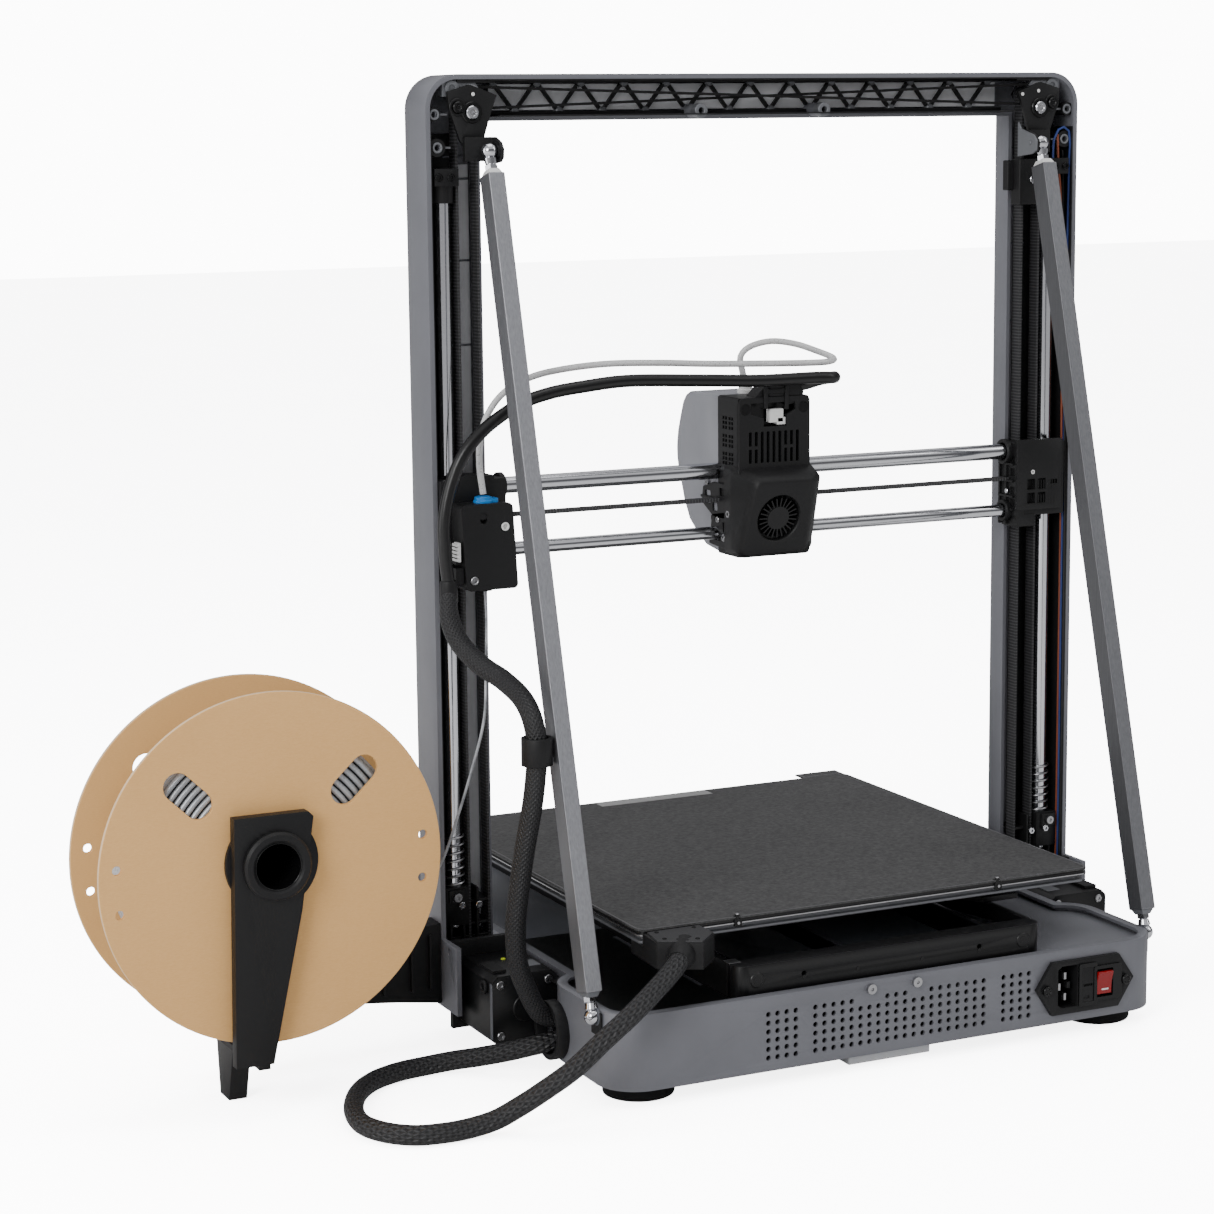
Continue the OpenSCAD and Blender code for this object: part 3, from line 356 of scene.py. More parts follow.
class Part:
    """Collects solids in one mesh; an axis letter gives the direction that a shape is drawn out along."""

    def __init__(self):
        self.bm = bmesh.new()
        self.uv = self.bm.loops.layers.uv.new("tube")

    def put(self, axis, u, v, w):
        a, b, c = AX[axis]
        return self.bm.verts.new([(u * a[i] + v * b[i] + w * c[i]) * 0.001 for i in range(3)])

    def face(self, vs):
        """A new face, or None where the same face is there already."""
        try:
            return self.bm.faces.new(vs)
        except ValueError:
            return None

    def box(self, a, b):
        return self.prism("z", rect(a[0], a[1], b[0], b[1]), a[2], b[2])

    def side_box(self, s, a, b):
        """Box given for the left half (s = 1), or its mirror image in the right half (s = -1)."""
        x0, x1 = sorted((s * a[0], s * b[0]))
        return self.box((x0,) + a[1:], (x1,) + b[1:])

    def prism(self, axis, pts, w0, w1, scale=1.0):
        lo = [self.put(axis, u, v, w0) for u, v in pts]
        hi = [self.put(axis, u * scale, v * scale, w1) for u, v in pts]
        self.face(lo[::-1])
        self.face(hi)
        for i in range(len(pts)):
            j = (i + 1) % len(pts)
            self.face([lo[i], lo[j], hi[j], hi[i]])
        return self

    def lathe(self, axis, c, profile, n=40, closed=False):
        """profile: (radius, height) pairs about the point c of the plane across the axis."""
        rings = []
        for r, w in profile:
            if r < 1e-6:
                rings.append([self.put(axis, c[0], c[1], w)])
                continue
            rings.append([self.put(axis, u, v, w) for u, v in arc(c[0], c[1], r, 0, 360, n)])
        pairs = list(zip(rings, rings[1:]))
        if closed:
            pairs.append((rings[-1], rings[0]))
        for p, q in pairs:
            for i in range(n):
                j = (i + 1) % n
                if len(p) == 1 and len(q) == 1:
                    continue
                if len(p) == 1:
                    self.face([p[0], q[j], q[i]])
                elif len(q) == 1:
                    self.face([p[i], p[j], q[0]])
                else:
                    self.face([p[i], p[j], q[j], q[i]])
        return self

    def disc(self, axis, c, r, w0, w1, n=32, edge=0.0):
        """A short round piece with its rim eased by edge."""
        if edge:
            prof = [(0, w0), (r - edge, w0), (r, w0 + edge), (r, w1 - edge), (r - edge, w1), (0, w1)]
        else:
            prof = [(0, w0), (r, w0), (r, w1), (0, w1)]
        return self.lathe(axis, c, prof, n)

    def ring(self, axis, c, r0, r1, w0, w1, n=40, edge=0.0):
        e = edge
        prof = [(r0, w0), (r1 - e, w0), (r1, w0 + e), (r1, w1 - e), (r1 - e, w1), (r0 + e, w1), (r0, w1 - e)]
        if not e:
            prof = [(r0, w0), (r1, w0), (r1, w1), (r0, w1)]
        return self.lathe(axis, c, prof, n, closed=True)

    def tube(self, pts, r, n=12, radii=None):
        """Round tube along the points, with radius r or one radius for each point."""
        pts = [Vector(p) for p in pts]
        m = len(pts)
        tan = [(pts[min(i + 1, m - 1)] - pts[max(i - 1, 0)]).normalized() for i in range(m)]
        nor = Vector((0, 0, 1)) if abs(tan[0].z) < 0.9 else Vector((1, 0, 0))
        rings, along = [], [0.0]
        for i in range(m):
            nor = (nor - tan[i] * nor.dot(tan[i])).normalized()
            bi = tan[i].cross(nor)
            rr = radii[i] if radii else r
            rings.append([self.put("z", *(pts[i] + nor * (rr * cos(t)) + bi * (rr * sin(t))))
                          for t in (2 * pi * k / n for k in range(n))])
            if i:
                along.append(along[-1] + (pts[i] - pts[i - 1]).length * 0.001)
        for p, q, v0, v1 in zip(rings, rings[1:], along, along[1:]):
            for k in range(n):
                f = self.face([p[k], p[(k + 1) % n], q[(k + 1) % n], q[k]])
                if f:
                    for lp, uv in zip(f.loops, rect(k / n, v0, (k + 1) / n, v1)):
                        lp[self.uv].uv = uv
        self.face(rings[0][::-1])
        self.face(rings[-1])
        return self

    def screw(self, axis, c, w, r, h):
        """A cap screw head with a hex socket, standing h proud of the level w."""
        self.lathe(axis, c, [(0, w), (r, w), (r, w + h * 0.75), (r * 0.88, w + h)], 24)
        return self.lathe(axis, c, [(r * 0.88, w + h), (r * 0.52, w + h), (r * 0.48, w + h * 0.35),
                                    (0, w + h * 0.35)], 6)

    def turn(self, matrix):
        bmesh.ops.transform(self.bm, matrix=matrix, verts=self.bm.verts)
        return self

    def done(self, name, look, body="frame", bevel=0.0, replaces=(), angle=32, ride=True):
        bmesh.ops.remove_doubles(self.bm, verts=self.bm.verts, dist=2e-6)
        bmesh.ops.recalc_face_normals(self.bm, faces=self.bm.faces)
        for e in self.bm.edges:
            if not bevel and len(e.link_faces) == 2 and e.calc_face_angle(0) > radians(angle):
                e.smooth = False
        for f in self.bm.faces:
            f.smooth = True
        me = bpy.data.meshes.new(name)
        self.bm.to_mesh(me)
        self.bm.free()
        me.materials.append(M[look])
        ob = bpy.data.objects.new(name, me)
        scene.collection.objects.link(ob)
        if bevel:
            soften(ob, bevel)
        if ride:
            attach(ob, body)
        if replaces:
            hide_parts(*replaces)
        return ob


def soften(ob, width, seg=2, weld=False):
    """Rounds the edges by width; weld first joins the facets of a carried-over CAD mesh into flats."""
    if weld:
        ob.modifiers.new("weld", "WELD").merge_threshold = 2e-6
        d = ob.modifiers.new("flats", "DECIMATE")
        d.decimate_type = "DISSOLVE"
        d.angle_limit = radians(0.6)
    b = ob.modifiers.new("edges", "BEVEL")
    b.width = width * 0.001
    b.segments = seg
    b.limit_method = "ANGLE"
    b.angle_limit = radians(35)
    b.harden_normals = True
    b.use_clamp_overlap = True
    for p in ob.data.polygons:
        p.use_smooth = True


def curve_points(route, step=3.0):
    """Catmull-Rom line through the route's points, evenly enough spaced for a tube."""
    p = [Vector(q) for q in route]
    p = [2 * p[0] - p[1]] + p + [2 * p[-1] - p[-2]]
    out = []
    for i in range(1, len(p) - 2):
        a, b, c, d = p[i - 1:i + 3]
        n = max(1, int((c - b).length / step))
        for k in range(n):
            t = k / n
            out.append(0.5 * ((2 * b) + (c - a) * t + (2 * a - 5 * b + 4 * c - d) * t * t
                              + (3 * b - a - 3 * c + d) * t ** 3))
    out.append(p[-2])
    return out


def slab(part, axis, loops, w0, w1):
    """A flat plate: the first loop is its outline, the rest are openings through it."""
    tmp = bmesh.new()
    edges = []
    for loop in loops:
        vs = [tmp.verts.new((u, v, 0)) for u, v in loop]
        edges += [tmp.edges.new((vs[i], vs[(i + 1) % len(vs)])) for i in range(len(vs))]
    bmesh.ops.triangle_fill(tmp, use_beauty=True, use_dissolve=False, edges=edges)
    tmp.verts.ensure_lookup_table()
    lo = {v: part.put(axis, v.co.x, v.co.y, w0) for v in tmp.verts}
    hi = {v: part.put(axis, v.co.x, v.co.y, w1) for v in tmp.verts}
    for f in tmp.faces:
        part.face([lo[v] for v in f.verts][::-1])
        part.face([hi[v] for v in f.verts])
    for e in tmp.edges:
        if len(e.link_faces) == 1:
            a, b = e.verts
            part.face([lo[a], lo[b], hi[b], hi[a]])
    tmp.free()
    return part


def arc(cx, cy, r, a0, a1, n):
    """n steps of a circle in degrees; a full turn leaves out its last point, which is the first."""
    steps = [radians(a0 + (a1 - a0) * i / n) for i in range(n if a1 - a0 >= 360 else n + 1)]
    return [(cx + r * cos(t), cy + r * sin(t)) for t in steps]


def rect(x0, y0, x1, y1, r=0, n=6):
    """Rectangle outline, counter-clockwise, its corners rounded by r."""
    if not r:
        return [(x0, y0), (x1, y0), (x1, y1), (x0, y1)]
    return (arc(x1 - r, y1 - r, r, 0, 90, n) + arc(x0 + r, y1 - r, r, 90, 180, n)
            + arc(x0 + r, y0 + r, r, 180, 270, n) + arc(x1 - r, y0 + r, r, 270, 360, n))


def loft(part, rings):
    """Skin through rings of equal length; each ring is a list of points in millimetres."""
    vs = [[part.put("z", *p) for p in ring] for ring in rings]
    n = len(vs[0])
    for p, q in zip(vs, vs[1:]):
        for i in range(n):
            part.face([p[i], p[(i + 1) % n], q[(i + 1) % n], q[i]])
    part.face(vs[0][::-1])
    part.face(vs[-1])
    return part


# ---- cords (same routes as the model source)
MM = 0.001
BED_CABLE = [
    (143, 195.8, 84.3), (151, 204, 81.5), (163, 210.5, 75.5), (185, 219, 63.5), (204, 222, 52),
    (222, 221, 38), (238, 215, 26), (250, 207, 16), (262, 202, 9), (278, 200, 6), (294, 200, 6),
    (308, 196, 6), (320, 184, 6), (326, 166, 6), (322, 142, 6), (310, 117, 6), (294, 100, 6),
    (275, 91, 6), (256, 88, 6), (241, 92, 8), (227, 101, 11), (213, 111, 15), (200, 119, 19),
    (187.2, 122, 21)]
SLEEVE = [
    (225.1, 61.3, 282.4), (226, 64, 266), (223, 72, 252), (216, 86, 241), (209, 102, 234), (205.5, 121, 226),
    (205, 134, 215), (205, 139, 200), (207, 141, 185), (210, 142, 167), (214, 140, 143), (217, 137, 116),
    (218, 134, 95), (215, 130, 73), (207, 126, 54), (200, 123.5, 41.5), (194, 122.2, 36.8),
    (188.4, 122, 35.6)]
HOSE = [
    (-12.7, 46, 388.6), (-22, 46, 390), (-31, 48.5, 392.5), (-36.5, 55, 394), (-31, 61.5, 394.5),
    (-18, 62, 395), (19, 62, 395), (60, 62, 397), (107, 62, 399), (137, 62, 397), (160, 62, 394),
    (180, 62, 388), (200, 62, 376), (214, 62, 362), (222, 61, 345), (227, 61, 324), (227, 61, 304),
    (225, 61, 284)]
GUIDE = [
    (8, 23, 390), (11, 24, 399), (13, 26, 407), (8, 29, 413), (-5, 32, 416), (-20, 36, 414), (-34, 40, 409),
    (-42, 45, 405), (-36, 51, 403.5), (-20, 54, 403.5), (13, 54, 404.5), (50, 54, 406), (83, 54, 408),
    (118, 54, 409), (148, 54, 407), (168, 53, 403), (184, 52, 395), (194, 51, 383), (199, 51, 369),
    (200, 51, 353), (198, 51, 336)]
STRAND = [
    (198, 51, 280), (198, 53, 262), (202, 60, 230), (207, 67, 203), (220, 76, 174), (231, 81, 150),
    (243, 85, 126), (262, 85, 100), (290, 85, 79), (325, 85, 65), (355.5, 85, 61.6)]


def cable(name, route, d, look, sides, step, a, neck=1.0):
    """Cord of diameter d along the route; neck is its first thickness over d; the body a is not used."""
    pts = curve_points(route, step)
    radii = [d / 2 * min(1, neck + 0.012 * step * i) for i in range(len(pts))]
    ob = Part().tube(pts, d / 2, sides, radii).done(name + "_run", look, a, replaces=(name,), angle=60,
                                                    ride=False)
    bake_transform(ob)


cable("bed_cable", BED_CABLE, 11.5, "braid", 20, 2.2, "bed")
cable("cable_sleeve", SLEEVE, 12, "sleeve", 20, 2.5, "crossbar",
      neck=0.78)
cable("head_hose", HOSE, 7.6, "hose", 16, 2.5, "print_head")
cable("guide_tube", GUIDE, 4, "guide", 14, 2.5, "print_head")
cable("filament_strand", STRAND, 1.8, "filament", 8, 3, "crossbar")


# ---- carried-over pieces: eased edges
for width, names in {
        0.3: "bed_tray beam_insert",
        0.4: "deck_plate bed_plate",
        0.5: "inlet_body",
        0.6: "power_supply motor_brackets rod_clamps spool_arm x_block_right bed_carriage y_motor",
        0.7: "brace_brackets x_block_left",
        0.8: "base_tray z_motor_left z_motor_right",
        0.9: "portal_frame spool_hub",
        1.0: "cable_clips",
        1.2: "bed_gland",
        1.4: "y_frame",
        1.6: "base_feet"}.items():
    for name in names.split():
        soften(nodes[name], width, weld=True)
for ob in nodes.values():
    for p in ob.data.polygons:
        p.use_smooth = True


# ---- portal
SIDES = ((-1, "right"), (1, "left"))
for s, side in SIDES:
    # black sheets over the leg channel's outer half, painted shade standing in for the shadow deep in the
    # channel; and its cross ribs
    p = Part().side_box(s, (221.2, 10, 60), (222, 38.6, 545))
    p.side_box(s, (196, 10.1, 60), (221.2, 11, 545))
    if s < 0:
        p.box((-186.4, 10.1, 60), (-184.2, 21.8, 548))
    p.done("channel_shade_sheet_" + side, "black", "frame", 0.2)
    p = Part()
    for z in (531, 518, 470, 420):
        p.side_box(s, (187, 10, z), (203.5, 11.4, z + 1.2))
    p.done("channel_web_" + side, "paint_dark", "frame", 0.25)
    # triangular plate fittings: ringed recess, ringed screw, mark, boss triangle behind
    Part().ring("y", (s * 205, 560), 3.6, 5.2, 38.9, 39.9, 28, 0.3).done(
        "plate_ring_" + side, "black_metal")
    Part().ring("y", (s * 196, 557), 4.2, 6.3, 38.9, 40.2, 32, 0.4).done(
        "plate_washer_" + side, "black_gloss")
    for c, r0, r1, top, hex_top, name, look in (
            ((s * 196, 557), 1.6, 3.9, 41.2, 40.2, "plate_screw_", "chrome"),
            ((s * 205, 560), 1.3, 3.4, 41.7, 41.15, "plate_screw_dark_", "black_gloss")):
        Part().ring("y", c, r0, r1, 39, top, 28, 0.5).disc("y", c, r0 + 0.1, 39, hex_top, 6).done(
            name + side, look)
    p = Part().disc("y", (s * 195, 567.5), 1.1, 38.9, 39.5, 16, 0.2)
    if s < 0:
        p.disc("y", (s * 183, 565.5), 1.1, 38.9, 39.5, 16, 0.2)
    p.done("plate_mark_" + side, "white")
    p = Part()
    p.prism("y", [(s * 213, 575.5), (s * 193, 575.5), (s * 190, 571), (s * 203, 567), (s * 213, 566)][::s],
            30, 35.8)
    p.ring("y", (s * 207, 571), 2.0, 4.4, 35, 37, 28, 0.3)
    p.done("corner_boss_" + side, "plate_grey", "frame", 0.4)
    # screw bosses: dark sleeve, pale rim, short webs
    p = Part()
    for x, z, r in ((219, 556, 4), (217, 537, 5)):
        p.ring("y", (s * x, z), 2.2, r + 0.2, 11, 36.4, 32)
    p.done("boss_sleeves_" + side, "black")
    p = Part()
    for x, z in ((218.4, 556), (216.8, 537)):
        p.ring("y", (s * x, z), 1.8, 3.2, 30, 37.2, 28, 0.4)
        p.side_box(s, (x + 3, 30, z - 0.6), (222, 36, z + 0.6))
        p.side_box(s, (x - 9, 30, z - 0.6), (x - 3, 35, z + 0.6))
    p.done("screw_bosses_" + side, "plate_grey", "frame", 0.25)
p = Part()
for x in (45, -40):
    p.ring("y", (x, 557), 1.8, 4.3, 30, 37.2, 28, 0.4)
p.done("beam_bosses", "plate_grey", "frame", 0.2)

# zigzag cross ribs with small knuckles, and the beam's dark lining strips
RIB_PITCH = 28.6
KNUCKLE = [(0, 10), (2.4, 10), (2.4, 21), (1.8, 21.6), (0, 21.6)]
p = Part()
for i in range(13):
    p.lathe("y", (174.6 - RIB_PITCH * i, 573.8), KNUCKLE, 16)
    if i < 12 and i not in (4, 7):    # two lower joints lie in the round bosses
        p.lathe("y", (160.3 - RIB_PITCH * i, 557.6), KNUCKLE, 16)
p.done("rib_knuckles", "plate_grey")
p = Part().box((-178, 22, 554.6), (178, 38.8, 555.4))
p.box((-184, 10, 575.2), (184, 38.8, 576))
p.box((-178, 10.1, 564.6), (178, 11, 566.8))
p.done("beam_lining", "black", "frame", 0.15)

# pale sheets behind the beam's ribs and on the left channel's floor: painted light, their colour raised to
# make up for the shade in these hollows
Part().box((-176, 16.9, 558.2), (176, 17.6, 573.4)).done("beam_floor", "beam", "frame", 0.1)
Part().box((187.2, 10.05, 62), (195, 10.9, 527)).done("channel_floor_painted_light", "beam", "frame", 0.1)

# braces: square tubes with end plugs, and on each end a ball joint's stud nut and neck
top, low = Vector((190, 50, 535)), Vector((190, 177, 51))
span = (top - low).length
tilt = Matrix.Rotation(atan2(low.y - top.y, top.z - low.z), 4, "X")


def on_brace(s, c):
    """From a brace's own axis, with its lower ball at the origin, to its place at the point c."""
    return Matrix.Translation(Vector((s * c.x, c.y, c.z)) * MM) @ tilt


for s, side in SIDES:
    for end, c, d in (("top", top, -1), ("low", low, 1)):
        p = Part()
        for prof, n in (([(2.7, 8.2), (4, 8.6), (4, 11.6), (2.7, 12)], 6),
                        ([(2.9, 3.4), (3.9, 4.6), (3.2, 7.8), (2.7, 7.8)], 24)):
            p.lathe("z", (0, 0), [(r, d * h) for r, h in prof], n, closed=True)
        p.turn(on_brace(s, c)).done("ball_neck_%s_%s" % (end, side), "chrome")
    # pale tapered end plugs of the square tube
    for end, z0, z1 in (("top", span - 14, span - 11), ("low", 14, 11)):
        Part().prism("z", rect(-4.3, -6, 4.3, 6), z0, z1, 0.7).turn(on_brace(s, low)).done(
            "tube_plug_%s_%s" % (end, side), "white" if end == "top" else "plate_grey", "frame", 0.4)
    Part().prism("z", rect(-5.1, -7.2, 5.1, 7.2), 14, span - 14).turn(on_brace(s, low)).done(
        "brace_tube_" + side, "tube", "frame", 0.8, replaces=("braces",))

# cross belt between the end blocks
Part().box((-184.5, 26.8, 318.6), (184.5, 33.2, 320.8)).done(
    "cross_belt", "belt_x", "crossbar", 0.2, replaces=("x_belt",))

# screws of the upper rod clamps, and the stop block on the right-hand rod
for s, side in SIDES:
    p = Part()
    for x in (209.5, 217):
        p.screw("y", (s * x, 520), 38, 2.3, 1.2)
    p.done("clamp_screws_" + side, "black_gloss")
p = Part().box((-199, 30, 496), (-181, 40, 525))
p.box((-181.5, 27, 505), (-176.5, 33, 524))
p.done("stop_block", "black", "frame", 0.8)
Part().screw("y", (-191, 512), 40, 2.8, 1.6).done("stop_screw", "chrome")
# pale cover over the right-hand upper bracket
p = Part().prism("x", [(36, 526.4), (52, 528), (56.5, 530.5), (57, 536.4), (53.5, 540), (39, 544), (36, 548)],
                 -183, -181.8)
p.disc("x", (50, 535), 1.5, -182, -181.2, 16, 0.3)
p.done("bracket_cover", "plate_grey", "frame", 0.4)

# buffer springs
for s, side in SIDES:
    pts = [(s * 211 + 6.3 * cos(t), 26 + 6.3 * sin(t), 95.7 + 31 * i / 130)
           for i, t in ((i, 2 * pi * i / 20) for i in range(131))]
    ob = Part().tube(pts, 0.65, 8).done(
        "buffer_spring_" + side, "steel", "frame", replaces=("buffer_springs",))
    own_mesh(ob)


# ---- print head
HX0, HX1 = -19.2, 30      # the head's flanks
FAN_X, FAN_Z = 7, 310     # middle of the fan opening


def head_cover_skin():
    side = [(28, 384), (-6, 384), (-12, 383.4), (-17, 381), (-20.6, 377), (-24.5, 368), (-28.2, 358),
            (-29.6, 351), (-30, 346), (-29.6, 340), (-28, 334), (-25.5, 328), (-20, 314), (-12.5, 302),
            (-1, 294), (10, 288.5), (28, 286)]
    p = Part()
    a = [p.put("x", y, z, HX0) for y, z in side]
    b = [p.put("x", y, z, HX1) for y, z in side]
    for i in range(len(side) - 1):
        p.face([a[i], a[i + 1], b[i + 1], b[i]])
    p.face(a[::-1])
    p.face(b)
    ob = p.done("head_cover_skin", "cover", "print_head", replaces=("head_cover",), angle=50)
    soften(ob, 2.6, 3)
    s = ob.modifiers.new("wall", "SOLIDIFY")
    s.thickness, s.offset = 0.002, -1


head_cover_skin()


def head_shell_skin():
    p = Part()
    slots = []
    for i in range(9):
        x = -11.5 + 4.1 * i
        cuts = ((343.8, 352.3), (354.2, 363)) if i in (1, 2, 7, 8) else ((343.8, 363),)
        slots += [rect(x, z0, x + 2, z1, 0.6, 3) for z0, z1 in cuts]
    window = [(-3, 366), (13, 366), (13, 371), (22, 374), (22, 380.5), (-9, 380.5), (-9, 376), (-3, 373)]
    slab(p, "y", [rect(HX0, 286, HX1, 384, 3.2, 5), window] + slots, 53.6, 56)
    for x0, x1 in ((HX0, HX0 + 2), (HX1 - 2, HX1)):
        grids = []
        for j, z in enumerate((342, 353, 364)):
            for i, y in enumerate((34, 42)):
                for v in range(3):
                    for u in range(2):
                        grids.append(rect(y + 3.4 * u, z + 2.9 * v, y + 3.4 * u + 2.5, z + 2.9 * v + 2))
        slab(p, "x", [rect(28, 286, 54.5, 383.6, 1, 3)] + grids, x0, x1)
    p.box((HX0 + 1, 28, 382), (HX1 - 1, 54.5, 384))
    p.box((HX0 + 1, 28, 286), (HX1 - 1, 54.5, 288))
    ob = p.done("head_shell_skin", "black", "print_head", replaces=("head_shell",))
    soften(ob, 0.45, 2)
    p = Part().box((HX0 + 2.2, 47.6, 340), (HX1 - 2.2, 48.4, 381.6))
    p.box((HX0 + 2.6, 30, 342), (HX0 + 3.2, 47.6, 380))
    p.done("head_baffle", "black_gloss", "print_head")
    # cable socket, its plug, and the stepped clamp block over it
    p = Part().box((-3, 50, 366.5), (3, 54.8, 371.2))
    p.box((-1.5, 50, 368), (8.2, 54.8, 376.5))
    p.done("head_plug", "white", "print_head", 0.5)
    p = Part()
    slab(p, "y", [[(-15, 380.5), (-4, 378.5), (-4, 381.6), (12, 381.6), (12, 379.5), (17.6, 380.5),
                   (18.2, 384), (11, 391.5), (-12.6, 391.5), (-15.6, 387)]], 42, 55)
    p.box((-12.6, 40.5, 384), (9, 55.4, 392))
    p.box((-4, 55, 376), (-1.4, 57.2, 391))
    p.box((10.5, 55, 377), (13.2, 57.2, 391))
    p.box((-4, 55.2, 386), (13, 56.4, 389))
    p.done("head_clamp_block", "black", "print_head", 0.9)
    p = Part()
    for x in (-14.8, 25.6):
        p.ring("y", (x, 377), 2.5, 3.5, 55.2, 56.4, 28, 0.3)
        p.disc("y", (x, 377), 2.6, 56.0, 56.12, 20)
    p.done("head_screws", "rubber", "print_head")


head_shell_skin()


def head_fan_housing():
    """Rounded housing: from the shell's back edge to a front face that leans with the fan."""
    n = 9

    def front(x, z, sunk):
        y = 58 + 12 * (z - 287) / 45
        return (x, y - 0.966 * sunk, z + 0.258 * sunk)

    def ring_rect(x0, z0, x1, z1, r):
        """Rounded outline with the same count of points as ring_circle."""
        corners = ((x1 - r, z1 - r, 0), (x0 + r, z1 - r, 90), (x0 + r, z0 + r, 180), (x1 - r, z0 + r, 270))
        return [q for cx, cz, a in corners for q in arc(cx, cz, r, a, a + 90, n)[:-1]]

    def leaning(x0, z0, x1, z1, r):
        """The same, its left edge drawn in toward the top."""
        return [(FAN_X + (x - FAN_X) * (1 - 0.24 * (z - 288) / 44) if x > FAN_X else x, z)
                for x, z in ring_rect(x0, z0, x1, z1, r)]

    def ring_circle(r):
        return arc(FAN_X, FAN_Z, r, 0, 360, 4 * n)

    back = ((40, (-23.6, 287.4, 32.2, 342.4, 3)), (47, (-23.8, 287, 32.2, 343, 4)),
            (50.4, (-23.8, 287, 32.4, 342.6, 5)))
    face = ((5.6, (-21.6, 285.9, 32.4, 336.2, 5)), (1.6, (-16.6, 286.4, 31.4, 334.4, 5)),
            (0.35, (-14.6, 287.2, 30.2, 333.4, 5)), (0, (-13.2, 288.4, 29, 332.2, 5)))
    rings = [[(x, y, z) for x, z in ring_rect(*size)] for y, size in back]
    rings += [[front(x, z, sunk) for x, z in leaning(*size)] for sunk, size in face]
    rings += [[front(x, z, sunk) for x, z in ring_circle(r)]
              for sunk, r in ((0, 15), (0.7, 14.4), (6.6, 14.2))]
    ob = loft(Part(), rings).done("fan_housing", "black", "print_head", angle=38)
    ob.modifiers.new("weld", "WELD").merge_threshold = 1e-6
    # blades near the rotor's rim, and its cap
    place = (Matrix.Translation((0, 0.0641, FAN_Z * MM)) @ Matrix.Rotation(-atan2(12, 45), 4, "X")
             @ Matrix.Translation((0, 0, -FAN_Z * MM)))
    p = Part()
    for u, v in arc(0, 0, 12.9, 0, 360, 46)[1::2]:
        p.disc("y", (FAN_X + u, FAN_Z + v), 0.7, -6.4, -3.6, 8)
    p.turn(place).done("fan_teeth", "rubber", "cooling_rotor")
    p = Part()
    cap = [(0, -1.2), (6.9, -1.2), (7.6, -1.6), (7.8, -2.3), (7.8, -3.2), (0, -3.2)]
    p.lathe("y", (FAN_X, FAN_Z), cap, 40)
    p.turn(place).done("fan_cap", "black", "cooling_rotor")


head_fan_housing()


def head_fittings():
    p = Part()
    p.lathe("z", (8, 23), [(0, 383.6), (5.2, 383.6), (5.2, 386), (4.2, 386.6), (4.2, 389.6), (4.6, 390.2),
                           (4.6, 391.8), (2.2, 392.2), (0, 392.2)], 28)
    p.done("head_tube_fitting", "white", "print_head")
    # bracket with its openings and screws, seen at the side between cover and housing
    p = Part()
    slab(p, "x", [[(24, 308), (45, 308), (48, 320), (45, 330), (24, 330), (10, 326), (8, 316)],
                  rect(13, 316, 20, 324, 1, 3), rect(23, 312, 29, 317, 1, 3), rect(32, 322, 38, 327, 1, 3)],
         30, 31.4)
    slab(p, "x", [[(18, 291), (44, 289), (47, 308), (40, 313), (22, 310)], rect(26, 294, 33, 301, 1, 3),
                  rect(36, 300, 42, 306, 1, 3)], 30, 31.4)
    p.box((29, 8, 318.9), (32.2, 30, 320.6))
    p.box((29, 22, 306), (32.2, 27, 309))
    p.done("carriage_ears", "black", "print_head", 0.5)
    p = Part()
    for y, z, r in ((44, 312, 2.6), (30, 307, 2.0), (38, 296.5, 2.4), (16, 329, 1.8)):
        p.screw("x", (y, z), 31, r, 1.2)
    p.done("carriage_screws", "steel", "print_head")


head_fittings()


# ---- crossbar ends and filament sensor
def block_details():
    # right block: mark, vent ribs on its rear face, and the open ribs beside it
    Part().ring("y", (-192, 324.5), 0.6, 1.4, 42.6, 43.3, 16).done("block_mark", "white", "crossbar")
    p = Part()
    for x in (-206.5, -198):
        for z in (303, 312.5):
            for i in range(3):
                p.box((x - 2.8 + 2 * i, 42.9, z), (x - 2.3 + 2 * i, 43.25, z + 6.6))
    for z in (329, 318, 308, 299.5):
        p.box((-181.4, 23, z), (-178.4, 39.4, z + 1.4))
    p.box((-181.4, 30, 290), (-178.6, 32, 343))
    p.box((-181.4, 23, 290), (-178.6, 24.6, 343))
    p.done("block_ribs", "black", "crossbar", 0.3)
    Part().disc("x", (33, 312), 1.7, -178.9, -178, 16, 0.3).done("block_pin", "chrome", "crossbar")
    p = Part()
    for s in (-1, 1):
        for z, r in ((337.5, 5.6), (299, 4.6)):
            p.ring("x", (30, z), r, r + 2.4, *sorted((s * 176.5, s * 180.4)), 32, 0.5)
    p.done("rod_seats", "black", "crossbar")


block_details()


